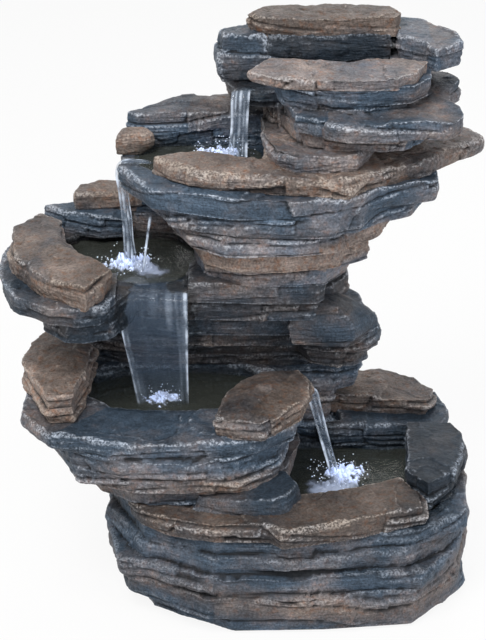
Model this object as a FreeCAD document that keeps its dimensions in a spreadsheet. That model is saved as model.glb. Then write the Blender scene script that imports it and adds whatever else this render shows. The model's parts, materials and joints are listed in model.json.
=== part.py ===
import FreeCAD, Part
import Sketcher
import math
import os
import re

# A tabletop cascade of stacked slate: a reservoir base, four cast tiers with pools and spouts, rim stones
# bedded on them, four sunken lamps, and a small pump that lifts the water up a riser hose to the crown.
# Frame: X right, Y back, Z up, origin on the table under the middle of the base. Millimetres.

SIZES = {
    # heights of what is stacked, from the table up
    "pad_thick": 2, "base_height": 68, "lower_height": 65, "middle_height": 88,
    "upper_height": 75, "slab_thick": 12, "crown_height": 52,
    # how far each tier reaches from the axis of the base
    "base_left": -132, "base_right": 134, "base_front": -110, "base_back": 108,
    "lower_left": -190, "lower_right": 14, "lower_front": -88, "lower_back": 60,
    "column_left": -90, "column_right": 60, "column_front": 46, "tower_back": 106,
    "middle_left": -150, "middle_right": 52, "middle_front": -18,
    "shelf_left": 4, "shelf_right": 69, "shelf_front": 4, "shelf_back": 58,
    "bowl_left": -200, "bowl_right": -104, "bowl_front": -58, "bowl_back": 98,
    "upper_left": -116, "upper_right": 106, "upper_front": -46,
    "crown_left": -12, "crown_right": 122, "crown_front": -34,
    "tongue_left": -44, "tongue_right": 36, "tongue_front": 36, "tongue_back": 98,
    "facet_depth": 3.2, "pad_inset": 7,
    # pools: floor heights are above the bottom of their own tier
    "base_floor": 15, "base_wall": 18, "pool_floor": 6,
    "divider_front": 40, "divider_thick": 10, "divider_port_left": -36, "divider_port_right": -8,
    "divider_port_height": 14,
    "lower_pool_rise": 38, "lower_pool_left": -142, "lower_pool_right": -8,
    "lower_pool_front": -30, "lower_pool_back": 44,
    "middle_pool_rise": 66, "middle_pool_left": -162, "middle_pool_right": -66,
    "middle_pool_front": 2, "middle_pool_back": 80,
    "upper_pool_rise": 63, "upper_pool_left": -104, "upper_pool_right": -20,
    "upper_pool_front": 2, "upper_pool_back": 60,
    "crown_pool_rise": 30, "crown_pool_left": -3, "crown_pool_right": 70,
    "crown_pool_front": 32, "crown_pool_back": 88,
    # spouts: a lip is this far below the top of its tier
    "spout_reach": 18, "lower_lip_drop": 9, "lower_spout_front": 10, "lower_spout_back": 32,
    "middle_lip_drop": 6, "middle_spout_left": -117, "middle_spout_right": -69,
    "upper_lip_drop": 2.5, "upper_spout_front": 20, "upper_spout_back": 36,
    "crown_lip_drop": 16, "crown_spout_front": 39, "crown_spout_back": 54,
    # shaft for hose and leads, up through the tiers
    "riser_x": 12, "riser_y": 70, "riser_bore": 14, "shaft_back": 87, "tower_wall": 12,
    "lower_shaft_left": -76, "middle_shaft_left": -34, "upper_shaft_left": -14,
    "under_left": -102, "under_right": -56, "under_front": -18, "under_back": 30, "under_pass_left": -82,
    "tunnel_height": 17, "tunnel_width": 24,
    # lamps
    "upper_lamp_x": -50, "upper_lamp_y": 30, "middle_lamp_x": -107, "middle_lamp_y": 27,
    "lower_lamp_x": -88, "lower_lamp_y": -4, "base_lamp_x": 38, "base_lamp_y": -15,
    "post_height": 35, "post_radius": 16, "post_wall": 3.5,
    "lamp_flange_radius": 11, "lamp_flange_thick": 3, "lamp_barrel_radius": 7, "lamp_barrel_length": 14,
    "lamp_cup_radius": 5.6, "lamp_cup_floor": 2, "lamp_seal_thick": 1.5, "lamp_nut_radius": 10.5,
    "lamp_nut_thick": 4, "lens_radius": 9.5, "lens_thick": 3, "board_thick": 1.6, "fit_gap": 0.1,
    # pump
    "pump_width": 30, "pump_height": 34, "motor_length": 30, "chamber_length": 14, "chamber_radius": 12.5,
    "volute_wall": 2.2, "suction_height": 8, "suction_radius": 7, "suction_neck": 4,
    "rotor_radius": 7, "can_gap": 0.6, "can_end": 5, "impeller_radius": 11,
    "impeller_thick": 2, "blade_thick": 1.4, "blade_length": 7, "shaft_radius": 1.5, "shaft_gap": 0.06,
    "core_thick": 5, "core_gap": 2, "cover_thick": 3, "intake_radius": 2.6, "intake_ring": 7.2,
    "strainer_length": 16, "strainer_wall": 2, "slot_width": 3, "slot_pitch": 6,
    "dial_radius": 10, "dial_thick": 3, "dial_stem_radius": 2.5, "dial_gap": 0.15, "dial_grip": 4,
    "port_radius": 2.4, "port_ring": 6,
    "nozzle_radius": 4.5, "nozzle_bore": 3.2, "nozzle_height": 20, "hose_wall": 2, "hose_overlap": 14,
    # crown outlet
    "outlet_flange_radius": 10, "outlet_flange_thick": 3, "outlet_radius": 7.5, "outlet_seal_thick": 1.5,
    "outlet_nut_radius": 11, "outlet_nut_thick": 5, "outlet_thread_spare": 1, "barb_length": 16,
    # rear access door, junction box and power inlet
    "door_left": -36, "door_right": 14, "door_sill": 8, "door_height": 44, "door_rebate": 5,
    "door_plate": 7, "door_gap": 0.4, "pull_radius": 9, "pull_depth": 4,
    "box_left": -70, "box_width": 26, "box_depth": 18, "box_height": 18, "box_rise": 28,
    "inlet_recess": 6, "inlet_spot_radius": 10, "inlet_radius": 5.5, "inlet_flange_radius": 8,
    "inlet_flange_thick": 2.5, "inlet_socket_radius": 2.75, "inlet_pin_radius": 1.05, "inlet_end": 1.5,
    # leads
    "lead_radius": 1.5, "lead_bend": 8, "lead_drop": 7, "floor_lead_height": 4,
    "upper_drop_x": -6, "upper_drop_y": 83, "middle_drop_x": -22, "middle_drop_y": 80,
    "lead_row_y": 79, "lead_row_pitch": 7, "pump_lead_height": 26, "under_lead_height": 14,
    # stones
    "cap_thick": 13, "crown_side_thick": 15, "crown_front_thick": 7, "upper_back_thick": 23,
    "upper_left_thick": 12, "middle_boulder_thick": 15, "middle_back_thick": 15, "middle_cap_thick": 13,
    "lower_left_thick": 23, "lower_front_thick": 13, "base_right_thick": 20, "base_back_thick": 13,
    "base_ledge_thick": 16, "middle_wall_thick": 36,
}
BLADES = 6
SLOTS = 4
RESERVOIR_CORNERS = 32
BASE_SQUARE = 3
BASE_SEED = 3
POOL_CORNERS = 14
COLUMN_CORNERS = 20

# Slate courses of each tier, bottom course first: relative thickness, then how far the course is set
# back from the tier's left, right, front and back reach.
BASE_COURSES = [
    (12, 16, 5, 0, 8), (14, 7, 2, -3, 3), (15, 0, 0, 0, 0), (14, 2, 4, 5, 2), (13, 4, 3, 9, 4),
]
LOWER_COURSES = [
    (13, 60, 14, 38, -8), (14, 40, 4, 12, 0), (13, 25, 14, 4, 0), (12, 18, 8, 0, 0), (13, 2, 0, 4, 0),
]
COLUMN_COURSES = [
    (13, 2, 20, 0, 2), (14, 0, 21, 0, 0), (13, 4, 20, 0, 1), (12, 1, 6, 0, 2), (13, 3, 0, 0, 0),
]
MIDDLE_COURSES = [
    (13, -7, 0, 56, 0), (14, 0, 2, 44, 2), (14, 0, 4, 28, 0), (17, 0, 10, 18, 3), (16, 0, 6, 6, 1),
    (14, 0, 10, 0, 0),
]
SHELF_COURSES = [
    (13, None), (14, 4, 8, 6, 2), (14, 0, 0, 0, 0), (17, 6, 12, 4, 8), (16, None), (14, None),
]
BOWL_COURSES = [
    (13, None), (14, None), (14, None), (17, 68, 0, 60, 6), (16, 24, 0, 10, 2), (14, 0, 0, 0, 0),
]
UPPER_COURSES = [
    (15, 48, 58, 26, 0), (16, 44, 54, 17, 1), (14, 32, 34, 6, 0), (15, 18, 10, 3, 2), (15, 0, 2, 0, 0),
]
CROWN_COURSES = [
    (12, -6, 62, 2, 4), (12, 4, 20, 15, 0), (12, 8, 0, 0, 4), (5, 4, 32, 25, 4), (11, 0, 22, 22, 2),
]
TONGUE_COURSES = [
    (12, None), (12, 26, 0, 4, 4), (12, 0, 0, 0, 0), (5, 31, 0, 22, 2), (11, 31, 0, 22, 2),
]

doc = FreeCAD.newDocument("slate_cascade")
sheet = doc.addObject("Spreadsheet::Sheet", "sizes")
for row, (alias, number) in enumerate(SIZES.items(), 1):
    sheet.set(f"A{row}", alias)
    sheet.set(f"B{row}", str(number))
    sheet.setAlias(f"B{row}", alias)
doc.recompute()

# The bottom of each tier is the sum of what is stacked under it.
STACK = ["pad_thick", "base_height", "lower_height", "middle_height", "upper_height", "slab_thick",
         "crown_height"]
TIERS = ["base", "lower", "middle", "upper", "slab", "crown", "crown_top"]
nodes = {}


def size(alias):
    return float(sheet.get(alias))


def stack_under(tier):
    return STACK[:TIERS.index(tier) + 1]


def level(tier):
    return sum(size(alias) for alias in stack_under(tier))


def level_text(tier):
    return " + ".join(stack_under(tier))


def tie(thing, prop, text):
    thing.setExpression(prop, re.sub(r"[a-z]\w*", lambda word: "sizes." + word.group(0), text))


def tie_place(thing, place):
    for axis, text in zip("xyz", place):
        tie(thing, "Placement.Base." + axis, text)


def node(name, thing):
    thing.Label = name
    nodes[name] = thing
    return thing


def box(name, x, y, z):
    made = doc.addObject("Part::Box", name)
    for prop, (start, end) in zip(("Length", "Width", "Height"), (x, y, z)):
        tie(made, prop, f"({end}) - ({start})")
    tie_place(made, (x[0], y[0], z[0]))
    return made


AXIS_TURNS = {
    "x": FreeCAD.Rotation(FreeCAD.Vector(0, 1, 0), 90),
    "y": FreeCAD.Rotation(FreeCAD.Vector(1, 0, 0), -90),
    "z": FreeCAD.Rotation(),
}


def rod(name, radius, start, length, axis="z"):
    made = doc.addObject("Part::Cylinder", name)
    made.Placement = FreeCAD.Placement(FreeCAD.Vector(), AXIS_TURNS[axis])
    tie(made, "Radius", radius)
    tie(made, "Height", length)
    tie_place(made, start)
    return made


def hex_prism(name, radius, start, height):
    made = doc.addObject("Part::Prism", name)
    made.Polygon = 6
    tie(made, "Circumradius", radius)
    tie(made, "Height", height)
    tie_place(made, start)
    return made


def joined(name, shapes):
    made = doc.addObject("Part::MultiFuse", name)
    made.Shapes = shapes
    made.Refine = True
    return made


def without(name, solid, *hollows):
    made = doc.addObject("Part::Cut", name)
    made.Base = solid
    made.Tool = hollows[0] if len(hollows) == 1 else joined(name + "_hollows", list(hollows))
    made.Refine = True
    return made


def group(name, shapes):
    made = doc.addObject("Part::Compound", name)
    made.Links = shapes
    return made


def plain(name, shape):
    made = doc.addObject("Part::Feature", name)
    made.Shape = shape
    return made


# Rock shapes: every stone is a closed skin of flat facets.

SEED_STEP, TURN_STEP, WAVE_REACH = 12.9898, 78.233, 43758.5453
# how far the bottom, belt and top of a stone are drawn in: least and random share of the facet depth
RING_SHARES = ((0.5, 0.5), (0.0, 0.6), (0.2, 0.6))
BELT_LEAST, BELT_SPREAD = 0.4, 0.25
ANGLE_WANDER = 5


def chance(seed, turn):
    wave = math.sin(SEED_STEP * seed + TURN_STEP * turn) * WAVE_REACH
    return wave - math.floor(wave)


def rough_outline(left, right, front, back, seed, corners=13, square=2.6, wander=0.07):
    points = []
    for turn in range(corners):
        angle = math.tau * (turn + ANGLE_WANDER * wander * (chance(seed, turn) - 0.5)) / corners
        across, along = math.cos(angle), math.sin(angle)
        reach = (abs(across) ** square + abs(along) ** square) ** (-1 / square)
        reach *= 1 - wander * chance(seed + 0.5, turn)
        points.append((across * reach, along * reach))
    lows = [min(point[axis] for point in points) for axis in (0, 1)]
    highs = [max(point[axis] for point in points) for axis in (0, 1)]
    return [(left + (right - left) * (x - lows[0]) / (highs[0] - lows[0]),
             front + (back - front) * (y - lows[1]) / (highs[1] - lows[1])) for x, y in points]


def counterclockwise(points):
    area = sum(x0 * y1 - x1 * y0 for (x0, y0), (x1, y1) in zip(points, points[1:] + points[:1]))
    return points if area > 0 else points[::-1]


def drawn_in(points, insets):
    moved = []
    for turn, (x, y) in enumerate(points):
        (x0, y0), (x1, y1) = points[turn - 1], points[(turn + 1) % len(points)]
        before, after = math.hypot(x - x0, y - y0), math.hypot(x1 - x, y1 - y)
        nx = (y0 - y) / before + (y - y1) / after
        ny = (x - x0) / before + (x1 - x) / after
        span = math.hypot(nx, ny)
        moved.append((x + insets[turn] * nx / span, y + insets[turn] * ny / span))
    return moved


def flat_face(points):
    return Part.Face(Part.makePolygon(points + points[:1]))


def stone_solid(outline, bottom, top, seed, swell=0.0):
    outline = counterclockwise(outline)
    depth = size("facet_depth")
    count = len(outline)
    insets = []
    for ring, (least, spread) in enumerate(RING_SHARES):
        ring_seed = seed + ring / len(RING_SHARES)
        insets.append([depth * (least + spread * chance(ring_seed, turn)) for turn in range(count)])
    belts = [bottom, bottom + (top - bottom) * (BELT_LEAST + BELT_SPREAD * chance(seed, count)), top]
    rings = [[FreeCAD.Vector(x, y, height) for x, y in drawn_in(outline, inset)]
             for height, inset in zip(belts, insets)]
    faces = [flat_face(rings[0][::-1])]
    for low, high in zip(rings, rings[1:]):
        for turn in range(count):
            after = (turn + 1) % count
            faces.append(flat_face([low[turn], low[after], high[after]]))
            faces.append(flat_face([low[turn], high[after], high[turn]]))
    if swell:
        crest = sum(rings[2], FreeCAD.Vector()) * (1 / count) + FreeCAD.Vector(0, 0, swell)
        faces += [flat_face([rings[2][turn - 1], rings[2][turn], crest]) for turn in range(count)]
    else:
        faces.append(flat_face(rings[2]))
    return Part.makeSolid(Part.makeShell(faces))


def course_levels(tier, height, courses):
    total = sum(course[0] for course in courses)
    bounds = [level(tier)]
    for course in courses:
        bounds.append(bounds[-1] + size(height) * course[0] / total)
    return bounds


def courses_of(name, tier, height, reach, courses, seed, **style):
    left, right, front, back = (size(alias) for alias in reach)
    bounds = course_levels(tier, height, courses)
    slabs = []
    for turn, course in enumerate(courses):
        if course[1] is None:
            continue
        in_left, in_right, in_front, in_back = course[1:]
        outline = rough_outline(left + in_left, right - in_right, front + in_front, back - in_back,
                                seed + turn, **style)
        solid = stone_solid(outline, bounds[turn], bounds[turn + 1], seed + turn)
        slabs.append(plain(f"{name}_course_{turn}", solid))
    return slabs


def prism(name, outline, bottom, top):
    face = flat_face([FreeCAD.Vector(x, y, bottom) for x, y in outline])
    return plain(name, face.extrude(FreeCAD.Vector(0, 0, top - bottom)))


def pool(tier, seed):
    reach = (size(f"{tier}_pool_{side}") for side in ("left", "right", "front", "back"))
    outline = rough_outline(*reach, seed, corners=POOL_CORNERS, square=3.2, wander=0.04)
    top = level(TIERS[TIERS.index(tier) + 1])
    return prism(tier + "_pool_hollow", outline, level(tier) + size(f"{tier}_pool_rise"), top)


def pool_floor_text(tier):
    return f"{level_text(tier)} + {tier}_pool_rise"


# Lamps: one design, placed by the height of the floor that it is screwed into.
LAMP_FLOORS = {
    "upper": pool_floor_text("upper"),
    "middle": pool_floor_text("middle"),
    "lower": pool_floor_text("lower"),
    "base": "pad_thick + base_floor + post_height",
}


def lamp_place(lamp, height):
    return f"{lamp}_lamp_x", f"{lamp}_lamp_y", f"{LAMP_FLOORS[lamp]} + {height}"


def lamp_hole(lamp):
    return rod(f"{lamp}_lamp_hole", "lamp_barrel_radius + fit_gap",
               lamp_place(lamp, "0 - pool_floor"), "pool_floor")


def lamp_tunnel(lamp):
    run = [size(f"{lamp}_drop_{axis}") - size(f"{lamp}_lamp_{axis}") for axis in "xy"]
    made = doc.addObject("Part::Box", f"{lamp}_lamp_tunnel")
    tie(made, "Width", "tunnel_width")
    tie(made, "Height", "tunnel_height")
    made.Length = math.hypot(*run) + size("tunnel_width") / 2
    turn = FreeCAD.Rotation(FreeCAD.Vector(0, 0, 1), math.degrees(math.atan2(run[1], run[0])))
    corner = turn.multVec(FreeCAD.Vector(-size("tunnel_width") / 2, -size("tunnel_width") / 2, 0))
    floor = level(lamp) + size(f"{lamp}_pool_rise") - size("pool_floor") - size("tunnel_height")
    middle = FreeCAD.Vector(size(f"{lamp}_lamp_x"), size(f"{lamp}_lamp_y"), floor)
    made.Placement = FreeCAD.Placement(middle + corner, turn)
    return made


def make_lamps():
    housings, lenses, nuts, seals, boards = [], [], [], [], []
    for lamp in LAMP_FLOORS:
        seal_disc = rod(f"{lamp}_seal_disc", "lamp_flange_radius", lamp_place(lamp, "0"), "lamp_seal_thick")
        seal_hole = rod(f"{lamp}_seal_hole", "lamp_barrel_radius + fit_gap", lamp_place(lamp, "0"),
                        "lamp_seal_thick")
        seals.append(without(f"{lamp}_lamp_seal", seal_disc, seal_hole))
        flange = rod(f"{lamp}_flange", "lamp_flange_radius", lamp_place(lamp, "lamp_seal_thick"),
                     "lamp_flange_thick")
        barrel = rod(f"{lamp}_barrel", "lamp_barrel_radius",
                     lamp_place(lamp, "lamp_seal_thick - lamp_barrel_length"), "lamp_barrel_length")
        cup = rod(f"{lamp}_cup", "lamp_cup_radius",
                  lamp_place(lamp, "lamp_seal_thick - lamp_barrel_length + lamp_cup_floor"),
                  "lamp_barrel_length + lamp_flange_thick")
        housings.append(without(f"{lamp}_lamp_housing", joined(f"{lamp}_lamp_body", [flange, barrel]), cup))
        boards.append(rod(f"{lamp}_lamp_board", "lamp_cup_radius - fit_gap",
                          lamp_place(lamp, "lamp_seal_thick - lamp_barrel_length + lamp_cup_floor"),
                          "board_thick"))
        lens = doc.addObject("Part::Cone", f"{lamp}_lamp_lens")
        tie(lens, "Radius1", "lens_radius")
        tie(lens, "Radius2", "lens_radius - lens_thick")
        tie(lens, "Height", "lens_thick")
        tie_place(lens, lamp_place(lamp, "lamp_seal_thick + lamp_flange_thick"))
        lenses.append(lens)
        nut_place = lamp_place(lamp, "0 - pool_floor - lamp_nut_thick")
        nut_hex = hex_prism(f"{lamp}_nut_hex", "lamp_nut_radius", nut_place, "lamp_nut_thick")
        nut_hole = rod(f"{lamp}_nut_hole", "lamp_barrel_radius + fit_gap", nut_place, "lamp_nut_thick")
        nuts.append(without(f"{lamp}_lamp_nut", nut_hex, nut_hole))
    node("led_housings", group("lamp_housings", housings))
    node("led_lenses", group("lamp_lenses", lenses))
    node("led_nuts", group("lamp_nuts", nuts))
    node("led_seals", group("lamp_seals", seals))
    node("led_boards", group("lamp_boards", boards))


# Castings: fused courses, hollowed by pools, spouts, the shaft and the lamp tunnels.
WALL_INSIDE = "tower_back - tower_wall"
SHAFT_FRONT = "riser_y - riser_bore"
SHAFT_RIGHT = "riser_x + riser_bore"


def shaft(tier, left, right, back):
    above = TIERS[TIERS.index(tier) + 1]
    return box(f"{tier}_shaft", (left, right), (SHAFT_FRONT, back), (level_text(tier), level_text(above)))


def spout(tier, x, y):
    above = level_text(TIERS[TIERS.index(tier) + 1])
    return box(f"{tier}_spout", x, y, (f"{above} - {tier}_lip_drop", above))


def make_base():
    courses = courses_of("base", "base", "base_height",
                         ("base_left", "base_right", "base_front", "base_back"), BASE_COURSES, BASE_SEED,
                         square=BASE_SQUARE)
    wall = size("base_wall")
    hollow = rough_outline(size("base_left") + wall, size("base_right") - wall, size("base_front") + wall,
                           size("base_back") - wall, 1, corners=RESERVOIR_CORNERS, wander=0)
    floor = level("base") + size("base_floor")
    tub = without("base_tub", joined("base_courses", courses),
                  prism("reservoir", hollow, floor, level("lower")))
    # the divider screens the pump from the pool; water and the lamp's lead pass through its port
    divider = box("divider_wall", ("base_left + base_wall", "base_right - base_wall"),
                  ("divider_front", "divider_front + divider_thick"),
                  ("pad_thick + base_floor", level_text("lower")))
    port = box("divider_port", ("divider_port_left", "divider_port_right"),
               ("divider_front", "divider_front + divider_thick"),
               ("pad_thick + base_floor", "pad_thick + base_floor + divider_port_height"))
    foot = ("base_lamp_x", "base_lamp_y", "pad_thick + base_floor")
    post = rod("lamp_post", "post_radius", foot, "post_height")
    bore = rod("lamp_post_bore", "post_radius - post_wall", foot, "post_height - pool_floor")
    slot = doc.addObject("Part::Box", "lamp_post_slot")
    tie(slot, "Length", "post_radius * 2")
    tie(slot, "Width", "lead_radius * 4")
    tie(slot, "Height", "floor_lead_height * 2")
    heading = base_lead_heading()
    turn = FreeCAD.Rotation(FreeCAD.Vector(0, 0, 1), math.degrees(heading))
    centre = FreeCAD.Vector(size("base_lamp_x"), size("base_lamp_y"), floor)
    slot.Placement = FreeCAD.Placement(
        centre + turn.multVec(FreeCAD.Vector(0, -2 * size("lead_radius"), 0)), turn)
    node("base_casting", without("base_with_post", joined("base_and_post", [tub, divider, post]),
                                 port, bore, slot, lamp_hole("base")))

    sides = zip(("base_left", "base_right", "base_front", "base_back"), (1, -1, 1, -1), BASE_COURSES[0][1:])
    reach = [size(alias) + inward * (set_in + size("pad_inset")) for alias, inward, set_in in sides]
    bottom = rough_outline(*reach, BASE_SEED, square=BASE_SQUARE)
    body = doc.addObject("PartDesign::Body", "base_pad_body")
    sketch = sketch_on(body, "XY_Plane", "pad_outline")
    closed_lines(sketch, [FreeCAD.Vector(x, y, 0) for x, y in bottom])
    pad = body.newObject("PartDesign::Pad", "pad_sheet")
    pad.Profile = sketch
    tie(pad, "Length", "pad_thick")
    node("base_pad", body)


def make_lower():
    bowl = courses_of("lower", "lower", "lower_height",
                      ("lower_left", "lower_right", "lower_front", "lower_back"), LOWER_COURSES, 21)
    column = courses_of("column", "lower", "lower_height",
                        ("column_left", "column_right", "column_front", "tower_back"), COLUMN_COURSES, 31,
                        corners=COLUMN_CORNERS, square=5, wander=0.03)
    # the lamp's lead runs through a chamber under the pool and a pass to the shaft
    under_height = (level_text("lower"), f"{pool_floor_text('lower')} - pool_floor")
    chamber = box("lower_under", ("under_left", "under_right"), ("under_front", "under_back"), under_height)
    lead_pass = box("lower_under_pass", ("under_pass_left", "under_right"), ("under_back", SHAFT_FRONT),
                    under_height)
    lip = spout("lower", ("lower_pool_right - spout_reach", "lower_right + spout_reach"),
                ("lower_spout_front", "lower_spout_back"))
    sill = f"{level_text('lower')} + door_sill"
    opening = box("door_opening", ("door_left", "door_right"),
                  ("tower_back - tower_wall", "tower_back"), (sill, f"{sill} + door_height"))
    rebate = box("door_rebate_hollow", ("door_left - door_rebate", "door_right + door_rebate"),
                 ("tower_back - door_plate", "tower_back + door_plate"),
                 (f"{sill} - door_rebate", f"{sill} + door_height + door_rebate"))
    hole = rod("inlet_hole", "inlet_radius + fit_gap", inlet_place("0 - tower_wall"), "tower_wall", "y")
    spot = rod("inlet_spot", "inlet_spot_radius", inlet_place("0 - inlet_recess"), "inlet_recess * 2", "y")
    node("lower_tier_casting", without(
        "lower_cast", joined("lower_courses", bowl + column), pool("lower", 5), lip, chamber, lead_pass,
        shaft("lower", "lower_shaft_left", SHAFT_RIGHT, WALL_INSIDE), lamp_hole("lower"), opening, rebate,
        hole, spot))


def make_middle():
    column = courses_of("middle", "middle", "middle_height",
                        ("middle_left", "middle_right", "middle_front", "tower_back"), MIDDLE_COURSES, 41,
                        square=4)
    shelf = courses_of("shelf", "middle", "middle_height",
                       ("shelf_left", "shelf_right", "shelf_front", "shelf_back"), SHELF_COURSES, 46)
    bowl = courses_of("bowl", "middle", "middle_height",
                      ("bowl_left", "bowl_right", "bowl_front", "bowl_back"), BOWL_COURSES, 51)
    lip = spout("middle", ("middle_spout_left", "middle_spout_right"),
                ("middle_front - spout_reach", "middle_pool_front + spout_reach"))
    node("middle_tier_casting", without(
        "middle_cast", joined("middle_courses", column + shelf + bowl), pool("middle", 6), lip,
        shaft("middle", "middle_shaft_left", SHAFT_RIGHT, "shaft_back"), lamp_hole("middle"),
        lamp_tunnel("middle")))


def make_upper():
    courses = courses_of("upper", "upper", "upper_height",
                         ("upper_left", "upper_right", "upper_front", "tower_back"), UPPER_COURSES, 61,
                         square=2.8)
    lip = spout("upper", ("upper_left - spout_reach", "upper_pool_left + spout_reach"),
                ("upper_spout_front", "upper_spout_back"))
    node("upper_tier_casting", without(
        "upper_cast", joined("upper_courses", courses), pool("upper", 7), lip,
        shaft("upper", "upper_shaft_left", SHAFT_RIGHT, "shaft_back"), lamp_hole("upper"),
        lamp_tunnel("upper")))


def make_crown():
    courses = courses_of("crown", "crown", "crown_height",
                         ("crown_left", "crown_right", "crown_front", "tower_back"), CROWN_COURSES, 71,
                         square=3)
    tongue = courses_of("tongue", "crown", "crown_height",
                        ("tongue_left", "tongue_right", "tongue_front", "tongue_back"), TONGUE_COURSES, 81,
                        square=4)
    lip = spout("crown", ("tongue_left - spout_reach", "crown_pool_left + spout_reach"),
                ("crown_spout_front", "crown_spout_back"))
    floor = pool_floor_text("crown")
    well = rod("crown_well", "riser_bore", ("riser_x", "riser_y", level_text("crown")),
               "crown_pool_rise - pool_floor")
    hole = rod("outlet_hole", "outlet_radius + fit_gap", ("riser_x", "riser_y", f"{floor} - pool_floor"),
               "pool_floor")
    node("crown_casting", without("crown_cast", joined("crown_courses", courses + tongue),
                                  pool("crown", 8), lip, well, hole))


# Stones bedded on the tiers. Each has the level it lies on, its thickness, how far its top swells, the
# tier reaches that it is measured from, and its outline from there.
STONES = {
    "base_right_stone": ("lower", "base_right_thick", 3, ("base_right", None), [
        (-36, -58), (-16, -38), (-4, 0), (-3, 20), (-12, 38), (-45, 38), (-50, -38)]),
    "base_back_ledge": ("lower", "base_ledge_thick", 0, ("column_right", "tower_back"), [
        (-35, -62), (-34, -69), (20, -68), (54, -66), (64, -44), (56, -14), (24, -3), (-19, -4),
        (-19, -60)]),
    "lower_left_boulder": ("middle", "lower_left_thick", 5, ("lower_left", None), [
        (18, 55), (6, 28), (2, -2), (24, -53), (43, -50), (50, -20), (53, 24)]),
    "lower_front_boulder": ("middle", "lower_front_thick", 5, ("lower_right", None), [
        (-59, -36), (-64, -70), (-32, -78), (-4, -45), (3, -14), (-4, 8), (-31, 6), (-48, -10)]),
    "middle_boulder": ("upper", "middle_boulder_thick", 5, ("bowl_left", None), [
        (23, 76), (6, 54), (8, -4), (35, -42), (64, -60), (81, -25), (56, 4), (44, 30), (37, 64)]),
    "middle_back_stone": ("upper", "middle_back_thick", 0, ("bowl_left", None), [
        (25, 88), (40, 74), (66, 66), (88, 70), (78, 98), (50, 101)]),
    "upper_back_stone": ("slab", "upper_back_thick", 4, ("upper_left", None), [
        (8, 60), (18, 53), (70, 62), (100, 64), (100, 97), (78, 98), (36, 90)]),
    "upper_left_stone": ("slab", "upper_left_thick", 2, ("upper_left", None), [
        (-5, 39), (13, 37), (18, 44), (14, 51), (0, 52)]),
    "crown_front_stone": ("crown_top", "crown_front_thick", 2, ("crown_left", None), [
        (-15, 10), (5, -3), (46, -10), (84, -8), (98, 2), (109, 30), (87, 40), (46, 33), (-2, 37)]),
    "crown_right_stone": ("crown_top", "crown_side_thick", 0, ("crown_right", None), [
        (-22, 33), (-2, 48), (-4, 68), (-28, 98), (-42, 102), (-49, 88), (-47, 58), (-30, 44)]),
    "crown_back_stone": ("crown_top", "crown_side_thick", 0, ("crown_left", "tower_back"), [
        (-13, -8), (-1, -47), (34, -50), (84, -46), (84, -6), (40, -1)]),
    "middle_wall_stone": ("upper", "middle_wall_thick", 2, ("bowl_left", None), [
        (91, 82), (104, 81), (122, 83), (123, 98), (110, 103), (84, 102)]),
}


def stone_outline(outline, anchors):
    offsets = [size(anchor) if anchor else 0.0 for anchor in anchors]
    return [(x + offsets[0], y + offsets[1]) for x, y in outline]


def stone(name, outline, bottom, thick, swell, seed):
    return node(name, plain(name, stone_solid(outline, bottom, bottom + thick, seed, swell)))


def make_stones():
    for seed, (name, (tier, thick, swell, anchors, outline)) in enumerate(STONES.items(), 91):
        stone(name, stone_outline(outline, anchors), level(tier), size(thick), swell, seed)

    # the base front stone is as thick as the lowest course of the lower tier, which lies on it
    front = [(-112, 50), (-104, 34), (-84, 18), (-50, 8), (-14, 6), (-5, -2), (50, 12), (95, 32), (94, 54),
             (80, 77), (38, 58), (8, 54), (-78, 56), (-102, 58)]
    bounds = course_levels("lower", "lower_height", LOWER_COURSES)
    stone("base_front_stone", stone_outline(front, (None, "base_front")), bounds[0], bounds[1] - bounds[0],
          0, 111)

    cap = [(47, 80), (77, 80), (89, 82), (80, 104), (65, 107), (49, 98)]
    stone("middle_back_cap", stone_outline(cap, ("bowl_left", None)),
          level("upper") + size("middle_back_thick"), size("middle_cap_thick"), 2, 112)

    # the big slab under the crown, with the hole for the hose
    slab = [(23, 1), (36, -15), (58, -30), (106, -36), (155, -43), (168, -30), (204, -8), (227, 19),
            (251, 46), (239, 70), (216, 98), (136, 100), (102, 98), (102, 62), (98, 2), (56, 10)]
    blank = plain("slab_blank", stone_solid(stone_outline(slab, ("upper_left", None)), level("slab"),
                                            level("crown"), 113))
    node("upper_rim_stone", without("slab_cut", blank, rod(
        "slab_hole", "riser_bore", ("riser_x", "riser_y", level_text("slab")), "slab_thick")))

    # the back stone of the base lies on its ledge
    back = [(-19, -46), (10, -50), (46, -50), (54, -24), (40, -6), (14, -2), (-19, -3)]
    stone("base_back_stone", stone_outline(back, ("column_right", "tower_back")),
          level("lower") + size("base_ledge_thick"), size("base_back_thick"), 3, 116)

    # the left crown stone stands on the spout's tongue and reaches the tops of the other crown stones
    left = [(-2, 58), (-4, 75), (10, 88), (19, 91), (30, 58), (12, 56)]
    tongue_top = course_levels("crown", "crown_height", CROWN_COURSES)[3]
    stone("crown_left_stone", stone_outline(left, ("tongue_left", None)), tongue_top,
          level("crown_top") + size("crown_side_thick") - tongue_top, 0, 114)

    cap = [(-16, 72), (-11, 62), (0, 58), (40, 56), (88, 60), (92, 72), (84, 90), (34, 98), (-4, 92)]
    stone("crown_capstone", stone_outline(cap, ("crown_left", None)),
          level("crown_top") + size("crown_side_thick"), size("cap_thick"), 2, 115)


# Sketches for the bodies.

def sketch_on(body, role, name):
    sketch = body.newObject("Sketcher::SketchObject", name)
    plane = next(part for part in body.Origin.OriginFeatures if part.Role == role)
    sketch.AttachmentSupport = [(plane, "")]
    sketch.MapMode = "FlatFace"
    return sketch


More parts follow.
